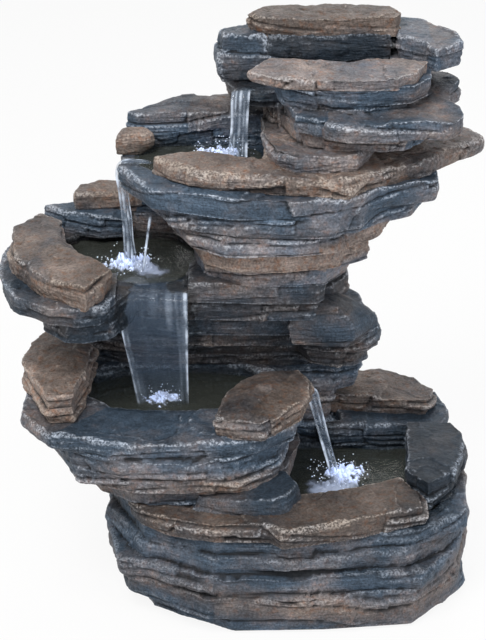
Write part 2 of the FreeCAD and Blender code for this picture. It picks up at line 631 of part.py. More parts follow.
def closed_lines(sketch, corners):
    first = sketch.GeometryCount
    count = len(corners)
    for turn in range(count):
        sketch.addGeometry(Part.LineSegment(corners[turn], corners[(turn + 1) % count]))
    for turn in range(count):
        after = first + (turn + 1) % count
        sketch.addConstraint(Sketcher.Constraint("Coincident", first + turn, 2, after, 1))
    return first


def tied_lines(sketch, corners, guess):
    first = closed_lines(sketch, [FreeCAD.Vector(x, y, 0) for x, y in guess])
    for turn, texts in enumerate(corners):
        for kind, text, start in zip(("DistanceX", "DistanceY"), texts, guess[turn]):
            line = sketch.addConstraint(Sketcher.Constraint(kind, -1, 1, first + turn, 1, start))
            tie(sketch, f"Constraints[{line}]", text)


def tied_circle(sketch, radius, guess):
    ring = sketch.addGeometry(Part.Circle(FreeCAD.Vector(), FreeCAD.Vector(0, 0, 1), guess))
    sketch.addConstraint(Sketcher.Constraint("Coincident", ring, 3, -1, 1))
    line = sketch.addConstraint(Sketcher.Constraint("Radius", ring, guess))
    tie(sketch, f"Constraints[{line}]", radius)


# Pump: a motor block, a volute with an upright nozzle, a cover and a strainer, along X under the riser.
PUMP_FLOOR = "pad_thick + base_floor"
PUMP_BOTTOM = PUMP_FLOOR + " + suction_height"
PUMP_AXIS = PUMP_BOTTOM + " + pump_height / 2"
CHAMBER_LEFT = "riser_x - chamber_length / 2"
CHAMBER_RIGHT = "riser_x + chamber_length / 2"
MOTOR_LEFT = CHAMBER_LEFT + " - motor_length"
CAN_LEFT = MOTOR_LEFT + " + can_end"
STRAINER_LEFT = CHAMBER_RIGHT + " + cover_thick"
STRAINER_RIGHT = STRAINER_LEFT + " + strainer_length"
PUMP_Y = ("riser_y - pump_width / 2", "riser_y + pump_width / 2")
PUMP_Z = (PUMP_BOTTOM, PUMP_BOTTOM + " + pump_height")


def on_axis(x):
    return x, "riser_y", PUMP_AXIS


def beside_axis(x, y, z):
    return x, f"riser_y + {y}", f"{PUMP_AXIS} + {z}"


def stator_parts(name):
    # a bridge above the rotor can and a pole leg down each side of it
    x = (CAN_LEFT, CHAMBER_LEFT + " - core_gap")
    can = "rotor_radius + can_gap + core_gap"
    bridge = box(name + "_bridge", x, (f"riser_y - ({can}) - core_thick", f"riser_y + {can} + core_thick"),
                 (f"{PUMP_AXIS} + {can}", f"{PUMP_AXIS} + {can} + core_thick"))
    legs = [box(f"{name}_leg_{side}", x, ends, (f"{PUMP_AXIS} - rotor_radius", f"{PUMP_AXIS} + {can}"))
            for side, ends in (("front", (f"riser_y - ({can}) - core_thick", f"riser_y - ({can})")),
                               ("back", (f"riser_y + {can}", f"riser_y + {can} + core_thick")))]
    return joined(name, [bridge] + legs)


def make_pump():
    motor = box("pump_motor", (MOTOR_LEFT, CHAMBER_LEFT), PUMP_Y, PUMP_Z)
    volute = rod("pump_volute", "chamber_radius + volute_wall", on_axis(CHAMBER_LEFT), "chamber_length", "x")
    nozzle = rod("pump_nozzle", "nozzle_radius", ("riser_x", "riser_y", PUMP_AXIS),
                 "chamber_radius + volute_wall + nozzle_height")
    chamber = rod("pump_chamber", "chamber_radius", on_axis(CHAMBER_LEFT), "chamber_length", "x")
    can = rod("pump_can", "rotor_radius + can_gap", on_axis(CAN_LEFT), "motor_length", "x")
    seat = rod("pump_shaft_seat", "shaft_radius + shaft_gap", on_axis(CAN_LEFT + " - can_end / 2"),
               "can_end", "x")
    bore = rod("pump_nozzle_bore", "nozzle_bore", ("riser_x", "riser_y", PUMP_AXIS),
               "chamber_radius + volute_wall + nozzle_height")
    node("pump_body", without("pump_housing", joined("pump_shell", [motor, volute, nozzle]), chamber, can,
                              seat, bore, stator_parts("stator_pocket")))
    node("pump_stator", stator_parts("stator_core"))
    node("pump_shaft", rod("pump_axle", "shaft_radius", on_axis(CAN_LEFT + " - can_end / 2"),
                           "can_end / 2 + motor_length - can_end + chamber_length + cover_thick / 2", "x"))

    disc_left = CHAMBER_LEFT + " + can_gap"
    magnet = rod("rotor_magnet", "rotor_radius", on_axis(CAN_LEFT + " + can_gap"), "motor_length - can_end",
                 "x")
    disc = rod("rotor_disc", "impeller_radius", on_axis(disc_left), "impeller_thick", "x")
    blades = []
    for turn in range(BLADES):
        blade = doc.addObject("Part::Box", f"rotor_blade_{turn}")
        tie(blade, "Length", "blade_length")
        tie(blade, "Width", "blade_thick")
        tie(blade, "Height", "impeller_radius - blade_thick")
        blade.Placement = FreeCAD.Placement(
            FreeCAD.Vector(), FreeCAD.Rotation(FreeCAD.Vector(1, 0, 0), 360 * turn / BLADES))
        tie_place(blade, on_axis(disc_left + " + impeller_thick"))
        blades.append(blade)
    hub = rod("rotor_hub", "shaft_radius * 2", on_axis(disc_left), "impeller_thick + blade_length", "x")
    bore = rod("rotor_bore", "shaft_radius + shaft_gap", on_axis(CAN_LEFT), "motor_length + chamber_length",
               "x")
    node("pump_rotor", without("rotor", joined("rotor_solid", [magnet, disc, hub] + blades), bore))

    plate = box("cover_plate", (CHAMBER_RIGHT, STRAINER_LEFT), PUMP_Y, PUMP_Z)
    rest = rod("cover_shaft_seat", "shaft_radius + shaft_gap", on_axis(CHAMBER_RIGHT), "cover_thick / 2", "x")
    intakes = [rod(f"cover_intake_{turn}", "intake_radius", beside_axis(CHAMBER_RIGHT, y, z), "cover_thick",
                   "x")
               for turn, (y, z) in enumerate((("intake_ring", "0"), ("0", "intake_ring"),
                                              ("0 - intake_ring", "0"), ("0", "0 - intake_ring")))]
    node("pump_cover", without("pump_cover_cut", plate, rest, *intakes))

    case = box("strainer_case", (STRAINER_LEFT, STRAINER_RIGHT), PUMP_Y, PUMP_Z)
    inside = box("strainer_inside", (STRAINER_LEFT, STRAINER_RIGHT + " - strainer_wall"),
                 (PUMP_Y[0] + " + strainer_wall", PUMP_Y[1] + " - strainer_wall"),
                 (PUMP_Z[0] + " + strainer_wall", PUMP_Z[1] + " - strainer_wall"))
    slots = [box(f"strainer_slot_{turn}",
                 (STRAINER_LEFT + " + strainer_wall * 2", STRAINER_RIGHT + " - strainer_wall * 2"), PUMP_Y,
                 (f"{PUMP_AXIS} + slot_pitch * ({turn} - {SLOTS - 1} / 2) - slot_width / 2",
                  f"{PUMP_AXIS} + slot_pitch * ({turn} - {SLOTS - 1} / 2) + slot_width / 2"))
             for turn in range(SLOTS)]
    stem_hole = rod("strainer_stem_hole", "dial_stem_radius + dial_gap",
                    on_axis(STRAINER_RIGHT + " - strainer_wall"), "strainer_wall", "x")
    ports = [rod(f"strainer_port_{turn}", "port_radius",
                 beside_axis(STRAINER_RIGHT + " - strainer_wall", y, "0"), "strainer_wall", "x")
             for turn, y in enumerate(("port_ring", "0 - port_ring"))]
    node("pump_strainer", without("strainer", case, inside, stem_hole, *slots, *ports))

    face = STRAINER_RIGHT + " + dial_gap"
    disc = rod("dial_disc", "dial_radius", on_axis(face), "dial_thick", "x")
    stem = rod("dial_stem", "dial_stem_radius", on_axis(STRAINER_RIGHT + " - strainer_wall * 2"),
               "strainer_wall * 2 + dial_gap", "x")
    grip = box("dial_grip_bar", (face + " + dial_thick", face + " + dial_thick + dial_grip"),
               ("riser_y - dial_stem_radius / 2", "riser_y + dial_stem_radius / 2"),
               (f"{PUMP_AXIS} - dial_radius + dial_thick", f"{PUMP_AXIS} + dial_radius - dial_thick"))
    ports = [rod(f"dial_port_{turn}", "port_radius", beside_axis(face, y, "0"), "dial_thick", "x")
             for turn, y in enumerate(("port_ring", "0 - port_ring"))]
    node("flow_dial", without("dial", joined("dial_solid", [disc, stem, grip]), *ports))

    cups = []
    sides = {"left": MOTOR_LEFT + " + suction_radius", "right": CHAMBER_LEFT + " - suction_radius"}
    ends = {"front": PUMP_Y[0] + " + suction_radius", "back": PUMP_Y[1] + " - suction_radius"}
    for side, x in sides.items():
        for end, y in ends.items():
            cup = doc.addObject("Part::Cone", f"suction_cup_{side}_{end}")
            tie(cup, "Radius1", "suction_radius")
            tie(cup, "Radius2", "suction_neck")
            tie(cup, "Height", "suction_height")
            tie_place(cup, (x, y, PUMP_FLOOR))
            cups.append(cup)
    node("suction_cups", group("pump_cups", cups))


# Riser: hose from the pump nozzle to the barb of the crown outlet.
NOZZLE_TOP = PUMP_AXIS + " + chamber_radius + volute_wall + nozzle_height"
CROWN_FLOOR = pool_floor_text("crown")
BARREL_LENGTH = "outlet_seal_thick + pool_floor + outlet_nut_thick + outlet_thread_spare"


def make_riser():
    hose = doc.addObject("PartDesign::Body", "riser_hose_body")
    sketch = sketch_on(hose, "XY_Plane", "hose_section")
    bore = size("nozzle_radius") + size("fit_gap")
    tied_circle(sketch, "nozzle_radius + fit_gap", bore)
    tied_circle(sketch, "nozzle_radius + fit_gap + hose_wall", bore + size("hose_wall"))
    tube = hose.newObject("PartDesign::Pad", "hose_tube")
    tube.Profile = sketch
    start = f"{NOZZLE_TOP} - hose_overlap"
    tie(tube, "Length", f"{CROWN_FLOOR} + outlet_seal_thick - ({BARREL_LENGTH}) - ({start})")
    tie_place(hose, ("riser_x", "riser_y", start))
    node("riser_hose", hose)

    # the outlet's profile is drawn from the lower end of its barb
    fitting = doc.addObject("PartDesign::Body", "outlet_body")
    sketch = sketch_on(fitting, "XZ_Plane", "outlet_profile")
    total = "barb_length + " + BARREL_LENGTH
    bore, barb, thread, flange = (size(alias) for alias in (
        "nozzle_bore", "nozzle_radius", "outlet_radius", "outlet_flange_radius"))
    low, top = size("barb_length"), size("barb_length") + size("outlet_seal_thick") + size("pool_floor")
    brim = top + size("outlet_flange_thick")
    corners = [("nozzle_bore", "0"), ("nozzle_radius", "0"), ("nozzle_radius", "barb_length"),
               ("outlet_radius", "barb_length"), ("outlet_radius", total),
               ("outlet_flange_radius", total), ("outlet_flange_radius", total + " + outlet_flange_thick"),
               ("nozzle_bore", total + " + outlet_flange_thick")]
    guess = [(bore, 0), (barb, 0), (barb, low), (thread, low), (thread, top), (flange, top),
             (flange, brim), (bore, brim)]
    tied_lines(sketch, corners, guess)
    turned = fitting.newObject("PartDesign::Revolution", "outlet_turning")
    turned.Profile = sketch
    turned.ReferenceAxis = (sketch, ["V_Axis"])
    turned.Angle = 360
    tie_place(fitting, ("riser_x", "riser_y", f"{CROWN_FLOOR} + outlet_seal_thick - ({total})"))
    node("outlet_fitting", fitting)

    floor = ("riser_x", "riser_y", CROWN_FLOOR)
    seal = rod("outlet_seal_disc", "outlet_flange_radius", floor, "outlet_seal_thick")
    seal_hole = rod("outlet_seal_hole", "outlet_radius + fit_gap", floor, "outlet_seal_thick")
    node("outlet_seal", without("outlet_seal_ring", seal, seal_hole))
    under = ("riser_x", "riser_y", f"{CROWN_FLOOR} - pool_floor - outlet_nut_thick")
    nut = hex_prism("outlet_nut_hex", "outlet_nut_radius", under, "outlet_nut_thick")
    nut_hole = rod("outlet_nut_hole", "outlet_radius + fit_gap", under, "outlet_nut_thick")
    node("outlet_nut", without("outlet_nut_ring", nut, nut_hole))


# Rear access door: a plate in the rebate of the back wall with a lip that plugs the opening.

def make_door():
    body = doc.addObject("PartDesign::Body", "door_body")
    wide = "door_right - door_left + 2 * door_rebate - 2 * door_gap"
    tall = "door_height + 2 * door_rebate - 2 * door_gap"
    full = (size("door_right") - size("door_left"), size("door_height"))

    outer = sketch_on(body, "XZ_Plane", "door_outline")
    tied_lines(outer, [("0", "0"), (wide, "0"), (wide, tall), ("0", tall)],
               [(0, 0), (full[0], 0), full, (0, full[1])])
    plate = body.newObject("PartDesign::Pad", "door_plate_pad")
    plate.Profile = outer
    tie(plate, "Length", "door_plate")
    plate.Reversed = True

    inner = sketch_on(body, "XZ_Plane", "door_lip_outline")
    rim = size("door_rebate")
    far = [reach - rim for reach in full]
    wide_lip, tall_lip = wide + " - door_rebate", tall + " - door_rebate"
    tied_lines(inner, [("door_rebate", "door_rebate"), (wide_lip, "door_rebate"), (wide_lip, tall_lip),
                       ("door_rebate", tall_lip)],
               [(rim, rim), (far[0], rim), far, (rim, far[1])])
    lip = body.newObject("PartDesign::Pad", "door_lip_pad")
    lip.Profile = inner
    tie(lip, "Length", "tower_wall - door_plate")
    tie_place(body, ("door_left - door_rebate + door_gap", "tower_back - door_plate",
                     f"{level_text('lower')} + door_sill - door_rebate + door_gap"))

    pull = rod("door_pull", "pull_radius", (
        "(door_left + door_right) / 2", "tower_back - pull_depth",
        f"{level_text('lower')} + door_sill + door_height + door_rebate - door_gap"), "pull_depth", "y")
    node("rear_access_door", without("door", body, pull))


# Junction box inside the back wall, and the power inlet that comes through the wall into it.
BOX_BOTTOM = level_text("lower") + " + box_rise"


def inlet_place(depth):
    return "box_left + box_width / 2", f"tower_back + {depth}", f"{BOX_BOTTOM} + box_height / 2"


def make_inlet():
    node("junction_box", box("junction", ("box_left", "box_left + box_width"),
                             (WALL_INSIDE + " - box_depth", WALL_INSIDE),
                             (BOX_BOTTOM, BOX_BOTTOM + " + box_height")))
    barrel = rod("inlet_barrel", "inlet_radius", inlet_place("0 - tower_wall"),
                 "tower_wall - inlet_recess", "y")
    flange = rod("inlet_flange", "inlet_flange_radius", inlet_place("0 - inlet_recess"),
                 "inlet_flange_thick", "y")
    socket = rod("inlet_socket", "inlet_socket_radius", inlet_place("inlet_end - tower_wall"),
                 "tower_wall", "y")
    pin = rod("inlet_pin", "inlet_pin_radius", inlet_place("0 - tower_wall"),
              "tower_wall - inlet_recess + inlet_flange_thick - inlet_end / 2", "y")
    shell = without("inlet_shell", joined("inlet_solid", [barrel, flange]), socket)
    node("power_inlet", joined("inlet", [shell, pin]))


# Leads: straight runs with round bends, each held from its lamp or the pump to the junction box. A bend
# takes at most this share of the runs beside it, and two leads enter the box at these shares of its height.
BEND_SHARE = 0.8
ENTRY_SHARES = {"upper": 0.7, "middle": 0.3}


def base_lead_heading():
    end = lead_row(1)
    return math.atan2(end[1] - size("base_lamp_y"), end[0] - size("base_lamp_x"))


def lead_row(place):
    return size("box_left") + size("lead_row_pitch") * (place + 1) - size("lead_radius"), size("lead_row_y")


def lead_solid(points):
    points = [FreeCAD.Vector(*point) for point in points]
    edges = []
    start = points[0]
    for before, corner, after in zip(points, points[1:], points[2:]):
        into, out = (corner - before).normalize(), (after - corner).normalize()
        half = into.getAngle(out) / 2
        reach = size("lead_bend") * math.tan(half)
        reach = min(reach, BEND_SHARE * (corner - before).Length, BEND_SHARE * (after - corner).Length)
        bend_start, bend_end = corner - into * reach, corner + out * reach
        radius = reach / math.tan(half)
        inward = (out - into).normalize()
        bend_middle = corner + inward * (radius / math.cos(half) - radius)
        edges.append(Part.LineSegment(start, bend_start).toShape())
        edges.append(Part.Arc(bend_start, bend_middle, bend_end).toShape())
        start = bend_end
    edges.append(Part.LineSegment(start, points[-1]).toShape())
    path = Part.Wire(edges)
    ring = Part.Circle(points[0], points[1] - points[0], size("lead_radius")).toShape()
    solid = path.makePipeShell([Part.Wire([ring])], True, False)
    whole = math.pi * size("lead_radius") ** 2 * path.Length
    print(f"lead of {path.Length:.0f} mm, volume {solid.Volume / whole:.4f} of its section times its length")
    return solid


def lamp_lead_start(lamp, floor):
    end = floor + size("lamp_seal_thick") - size("lamp_barrel_length")
    return size(f"{lamp}_lamp_x"), size(f"{lamp}_lamp_y"), end


def make_leads():
    box_right = size("box_left") + size("box_width")
    box_bottom = level("lower") + size("box_rise")
    for lamp, share in ENTRY_SHARES.items():
        x, y, z = lamp_lead_start(lamp, level(lamp) + size(f"{lamp}_pool_rise"))
        run = z - size("lead_drop")
        drop_x, drop_y = size(f"{lamp}_drop_x"), size(f"{lamp}_drop_y")
        enter = box_bottom + size("box_height") * share
        node(f"led_lead_{lamp}", plain(f"{lamp}_lead", lead_solid([
            (x, y, z), (x, y, run), (drop_x, drop_y, run), (drop_x, drop_y, enter),
            (box_right, drop_y, enter)])))

    x, y, z = lamp_lead_start("lower", level("lower") + size("lower_pool_rise"))
    run = level("lower") + size("under_lead_height")
    end = lead_row(0)
    node("led_lead_lower", plain("lower_lead", lead_solid([
        (x, y, z), (x, y, run), (*end, run), (*end, box_bottom)])))

    x, y, z = lamp_lead_start("base", level("base") + size("base_floor") + size("post_height"))
    run = level("base") + size("base_floor") + size("floor_lead_height")
    end = lead_row(1)
    node("led_lead_base", plain("base_lead", lead_solid([
        (x, y, z), (x, y, run), (*end, run), (*end, box_bottom)])))

    motor_left = size("riser_x") - size("chamber_length") / 2 - size("motor_length")
    height = level("base") + size("base_floor") + size("suction_height") + size("pump_lead_height")
    end = lead_row(2)
    node("pump_lead", plain("motor_lead", lead_solid([
        (motor_left, end[1], height), (*end, height), (*end, box_bottom)])))


make_base()
make_lower()
make_middle()
make_upper()
make_crown()
make_stones()
make_lamps()
make_pump()
make_riser()
make_door()
make_inlet()
make_leads()
doc.recompute()

for thing in doc.Objects:
    if {"Invalid", "Error"} & set(thing.State):
        raise SystemExit(f"{thing.Label} failed: {thing.State}")
for name, thing in nodes.items():
    if thing.Shape.isNull() or not thing.Shape.isValid() or not thing.Shape.Solids:
        raise SystemExit(f"{name} has no valid solid")

os.makedirs("parts", exist_ok=True)
for name, thing in nodes.items():
    thing.Shape.exportStep(f"parts/{name}.step")
    print(f"{name}: {len(thing.Shape.Solids)} solid(s), {thing.Shape.Volume / 1000:.1f} cm3")
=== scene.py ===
import bmesh
import bpy
import json
import math
import numpy as np
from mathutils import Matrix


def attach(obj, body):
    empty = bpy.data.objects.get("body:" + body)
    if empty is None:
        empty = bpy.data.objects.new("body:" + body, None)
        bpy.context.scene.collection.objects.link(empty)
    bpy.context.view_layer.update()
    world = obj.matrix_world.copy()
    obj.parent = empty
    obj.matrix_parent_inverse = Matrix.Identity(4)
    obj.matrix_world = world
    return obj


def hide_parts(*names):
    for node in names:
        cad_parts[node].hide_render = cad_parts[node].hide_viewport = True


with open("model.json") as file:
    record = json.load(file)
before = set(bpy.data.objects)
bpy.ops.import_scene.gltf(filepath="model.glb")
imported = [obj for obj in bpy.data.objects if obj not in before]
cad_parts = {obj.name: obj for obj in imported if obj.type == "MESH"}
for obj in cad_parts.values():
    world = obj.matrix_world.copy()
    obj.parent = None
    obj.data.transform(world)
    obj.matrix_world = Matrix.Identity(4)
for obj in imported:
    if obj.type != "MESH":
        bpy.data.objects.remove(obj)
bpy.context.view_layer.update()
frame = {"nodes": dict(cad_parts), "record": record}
scene = bpy.context.scene
nodes = frame["nodes"]
slots = {part["node"]: part["material_slot"] for part in frame["record"]["subparts"]}
print("frame:", len(nodes), "nodes")


def feed(value, socket):
    # sets the socket where the value is a constant, or else links it
    if isinstance(value, (int, float, tuple)):
        socket.default_value = value
    else:
        socket.id_data.links.new(value, socket)


def addNode(tree, kind, **values):
    made = tree.nodes.new(kind)
    for name, value in values.items():
        if name in made.inputs:
            made.inputs[name].default_value = value
        else:
            setattr(made, name, value)
    return made


def mathNode(operation, first, second):
    made = addNode(first.id_data, "ShaderNodeMath", operation=operation)
    feed(first, made.inputs[0])
    feed(second, made.inputs[1])
    return made.outputs[0]


def times(first, second):
    return mathNode("MULTIPLY", first, second)


def mixColour(tree, share, first, second, how="MIX"):
    made = addNode(tree, "ShaderNodeMix", data_type="RGBA", blend_type=how)
    for value, place in ((share, 0), (first, 6), (second, 7)):
        feed(value, made.inputs[place])
    return made.outputs[2]


def spread(value, low, high, start, end):
    # the value's range from low to high, laid out from start to end
    limits = {"From Min": low, "From Max": high, "To Min": start, "To Max": end}
    made = addNode(value.id_data, "ShaderNodeMapRange", **limits)
    feed(value, made.inputs["Value"])
    return made.outputs["Result"]


def newFinish(name, **constants):
    finish = bpy.data.materials.new(name)
    finish.use_nodes = True
    shader = finish.node_tree.nodes["Principled BSDF"]
    for socket, value in constants.items():
        shader.inputs[socket].default_value = value
    return finish, finish.node_tree, shader.inputs


def placed(name, data):
    made = bpy.data.objects.new(name, data)
    scene.collection.objects.link(made)
    return made


# Camera and studio, in metres.
camera = {"place": (-0.031, -1.3595, 0.8239), "tiltDegrees": 65, "lens": 120.5}
studio = {
    "worldLight": 0.4, "floor": {"Base Color": (0.82, 0.82, 0.82, 1), "Roughness": 0.9}, "floorGlow": 0.9,
    "floorHalf": 6,
    "lamps": (  # name, place, aim, width, watts, colour
        ("keyLamp", (-0.45, -0.75, 1.35), (-0.03, 0, 0.2), 0.7, 17, (1, 0.98, 0.95)),
        ("fillLamp", (0.95, -0.85, 0.75), (0, 0, 0.18), 0.8, 7.5, (0.93, 0.96, 1)),
        ("rimLamp", (0.25, 0.95, 1.1), (0, 0, 0.22), 0.7, 6, (1, 1, 1)),
    ),
}


def seenDirectly(tree):
    # 1 where the ray comes from the camera or off a shiny or clear surface
    rays = tree.nodes.new("ShaderNodeLightPath").outputs
    shiny = mathNode("MAXIMUM", rays["Is Camera Ray"], rays["Is Glossy Ray"])
    return mathNode("MAXIMUM", shiny, rays["Is Transmission Ray"])


def setStudio():
    lens = bpy.data.cameras.new("photoCamera")
    lens.lens = camera["lens"]
    scene.camera = placed("photoCamera", lens)
    scene.camera.location = camera["place"]
    scene.camera.rotation_euler = (math.radians(camera["tiltDegrees"]), 0, 0)
    scene.view_settings.view_transform = "Standard"

    world = bpy.data.worlds.new("paleRoom")
    world.use_nodes = True
    sky = world.node_tree.nodes["Background"].inputs
    sky["Color"].default_value = (1, 1, 1, 1)
    feed(spread(seenDirectly(world.node_tree), 0, 1, studio["worldLight"], 1), sky["Strength"])
    scene.world = world

    for name, place, aim, width, watts, colour in studio["lamps"]:
        lamp = bpy.data.lights.new(name, "AREA")
        lamp.size = width
        lamp.energy = watts
        lamp.color = colour
        holder = placed(name, lamp)
        holder.location = place
        away = np.array(place) - np.array(aim)
        holder.rotation_euler = (math.atan2(math.hypot(away[0], away[1]), away[2]), 0,
                                 math.atan2(away[1], away[0]) + math.pi / 2)

    half = studio["floorHalf"]
    corners = [(-half, -half, 0), (half, -half, 0), (half, half, 0), (-half, half, 0)]
    mesh = bpy.data.meshes.new("paleFloor")
    mesh.from_pydata(corners, [], [(0, 1, 2, 3)])
    floor = placed("paleFloor", mesh)
    paint, tree, _ = newFinish("floorPaint", **studio["floor"])
    glow = tree.nodes.new("ShaderNodeEmission")
    blend = tree.nodes.new("ShaderNodeMixShader")
    feed(times(seenDirectly(tree), studio["floorGlow"]), blend.inputs[0])
    feed(tree.nodes["Principled BSDF"].outputs[0], blend.inputs[1])
    feed(glow.outputs[0], blend.inputs[2])
    feed(blend.outputs[0], tree.nodes["Material Output"].inputs["Surface"])
    mesh.materials.append(paint)


setStudio()
print("studio: camera,", len(studio["lamps"]), "lamps, floor")


# Noise on points, the same on every run; the large odd factors scatter the bits.
octaveStep, octaveFade = 2.03, 0.55


def hashUnit(ix, iy, iz, seed):
    mix = (ix.astype(np.uint32) * np.uint32(374761393) + iy.astype(np.uint32) * np.uint32(668265263)
           + iz.astype(np.uint32) * np.uint32(2246822519) + np.uint32(seed * 7919 + 17))
    mix = (mix ^ (mix >> np.uint32(15))) * np.uint32(2246822519)
    mix = (mix ^ (mix >> np.uint32(13))) * np.uint32(3266489917)
    return (mix ^ (mix >> np.uint32(16))).astype(float) / 4294967295


def softNoise(points, seed):
    corner = np.floor(points).astype(np.int64)
    part = points - corner
    ease = part * part * (3 - 2 * part)
    total = np.zeros(len(points))
    for dx in (0, 1):
        for dy in (0, 1):
            for dz in (0, 1):
                weight = np.abs(1 - dx - ease[:, 0]) * np.abs(1 - dy - ease[:, 1])
                weight *= np.abs(1 - dz - ease[:, 2])
                total += weight * hashUnit(corner[:, 0] + dx, corner[:, 1] + dy, corner[:, 2] + dz, seed)
    return total * 2 - 1


def roughNoise(points, seed, octaves):
    total = np.zeros(len(points))
    for octave in range(octaves):
        total += softNoise(points * octaveStep ** octave, seed + octave) * octaveFade ** octave
    return total


def waves(points, height, length, seed, octaves=1):
    return height * roughNoise(points / length, seed, octaves)


def brokenCells(points, seed):
    # nearest scattered cell middle in the point's own layer, the way to it, and how near a border is
    home = np.floor(points).astype(np.int64)
    nearest = np.full(len(points), 1e9)
    second = nearest.copy()
    cell = home.copy()
    offset = np.zeros((len(points), 2))
    for dx in (-1, 0, 1):
        for dy in (-1, 0, 1):
            spot = home + (dx, dy, 0)
            gap = points[:, :2] - spot[:, :2]
            gap[:, 0] -= hashUnit(*spot.T, seed)
            gap[:, 1] -= hashUnit(*spot.T, seed + 1)
            away = (gap ** 2).sum(1)
            closer = away < nearest
            second = np.where(closer, nearest, np.minimum(second, away))
            nearest = np.where(closer, away, nearest)
            cell[closer] = spot[closer]
            offset[closer] = gap[closer]
    return cell, offset, np.sqrt(second) - np.sqrt(nearest)


def cellValue(cell, seed):
    return hashUnit(*cell.T, seed) * 2 - 1


seeds = {
    "slabs": 14, "slabTraits": range(15, 20), "blocks": 22, "blockDepths": 24, "bedBrown": 8, "bedTone": 9,
    "leafyBeds": 10, "foamCells": 61, "foamLumps": 63, "falls": 71,
}

# Slate, in millimetres: slabs set at their own tilt, split into beds and blocks, with thin leaves and chipped
# edges. Waves are given by height, length, seed and, where there is more than one, octaves.
slate = {
    "slabSize": 86, "slabHeight": 34, "slabShift": 6, "slabTilt": 0.2, "slabDepth": 1.3,
    "slabWarp": (0.1, 20, 5), "slabLift": (0.4, 48, 2),
    "dip": 4, "dipLong": (1, 84, 3), "dipShort": (0.3, 30, 4), "lean": 1.2, "leanFrom": (4, 20),
    "beds": 70, "thinBeds": (3.5, 8), "thickBeds": (12, 22), "thickShare": 0.5, "firstLevel": -40,
    "bedWarp": (5, 18, 7), "bedWaves": (2.4, (34, 34, 1), 21), "jointDepth": 1.6, "jointWidth": 0.8,
    "blockSize": 62, "blockDepth": 2.1, "blockSplit": 0.5, "splitDepth": 1.3, "splitWidth": 1.6,
    "leaves": 260, "leafThickness": (1.1, 3.2), "leafWarp": (1.2, 22, 6), "leafWaves": (1, (17, 17, 1), 23),
    "leafDepth": 0.6, "crackDepth": 0.8, "crackWidth": 0.35, "leafPatches": (0.35, 40, 27), "leafLeast": 0.15,
    "leafFrom": (0.25, 0.75), "bulges": (1.4, 40, 25), "chips": (1, 12, 26, 3), "grit": (0.36, 3.4, 29, 2),
    "clefts": (1, 46, 31), "cleftEdges": (0.2, 10, 32), "cleftSteps": ((0.1, 0.16), (-0.34, -0.28)),
    "stepDepth": 1.1, "topChips": (1, 17, 34, 4), "topGrit": (0.36, 3.4, 38, 2), "sideFrom": (0.45, 0.85),
    "topFrom": (0.35, 0.85), "deepest": 2.8, "lowest": 2.05, "swellCore": 0.25, "soften": 1, "seed": 11,
}
randomBeds = np.random.default_rng(slate["seed"])
thick = randomBeds.random(slate["beds"]) < slate["thickShare"]
bedSizes = np.where(thick, randomBeds.uniform(*slate["thickBeds"], slate["beds"]),
                    randomBeds.uniform(*slate["thinBeds"], slate["beds"]))
bedLevels = np.cumsum(bedSizes) + slate["firstLevel"]
leafLevels = np.cumsum(randomBeds.uniform(*slate["leafThickness"], slate["leaves"])) + slate["firstLevel"]

# Where the rock keeps its moulded shape, round lamps, outlet, door, inlet and strainer: low, high corner.
stillPlaces = (
    ((-63, 17, 276), (-37, 43, 296)), ((-120, 14, 191), (-94, 40, 211)), ((-101, -17, 98), (-75, 9, 118)),
    ((20, -33, 14), (56, 3, 62)), ((-2, 56, 328), (26, 84, 346)), ((-44, 88, 70), (22, 114, 130)),
    ((-69, 90, 95), (-45, 114, 119)), ((16, 48, 14), (64, 94, 66)),
)
stillFade = 5

# Water level of each pool, with the node and floor that its outline is read from, where the fall lands, and
# the middle and size of any calm patch, painted pale and glowing as if lit by the lamp below. An outline may
# have limits, low and high, and added corners.
pools = {
    "upperPool": {"node": "upper_tier_casting", "floor": 286, "lamp": (-50, 30), "level": 297.6,
                  "splash": (-46, 38)},
    "middlePool": {"node": "middle_tier_casting", "floor": 201, "lamp": (-107, 27), "level": 218.6,
                   "splash": (-113, 28), "calmPaintedGlow": (-97, 22, 13)},
    "lowerPool": {"node": "lower_tier_casting", "floor": 108, "lamp": (-88, -4), "level": 127.6,
                  "splash": (-88, 0)},
    "basePool": {"node": "base_casting", "floor": 17, "lamp": (38, -15), "level": 66, "splash": (38, -4),
                 "calmPaintedGlow": (32, -21, 17), "within": ((-200, -200), (200, 41)),
                 "added": ((-108, 40), (110, 40))},
    "crownPool": {"node": "crown_casting", "floor": 340, "lamp": (12, 70), "level": 349.4, "splash": (14, 62),
                  "within": ((-5, 30), (72, 90))},
}
outlineRead = {"flatWithin": 0.2, "lampClear": 17, "leastStep": 0.5}


def vertexValues(mesh, kind):
    values = np.empty(len(mesh.vertices) * 3)
    mesh.vertices.foreach_get(kind, values)
    return values.reshape(-1, 3)


def poolOutline(pool):
    points = vertexValues(nodes[pool["node"]].data, "co") * 1000
    flat = points[np.abs(points[:, 2] - pool["floor"]) < outlineRead["flatWithin"]][:, :2]
    flat = flat[np.hypot(*(flat - np.array(pool["lamp"])).T) > outlineRead["lampClear"]]
    if "within" in pool:
        low, high = pool["within"]
        flat = flat[((flat > low) & (flat < high)).all(1)]
    flat = np.vstack([flat, *pool.get("added", ())])
    middle = (flat.min(0) + flat.max(0)) / 2
    turns = np.arctan2(flat[:, 1] - middle[1], flat[:, 0] - middle[0])
    flat = flat[np.argsort(turns)]
    keep = [0]
    for place in range(1, len(flat)):
        if np.hypot(*(flat[place] - flat[keep[-1]])) > outlineRead["leastStep"]:
            keep.append(place)
    return flat[keep]


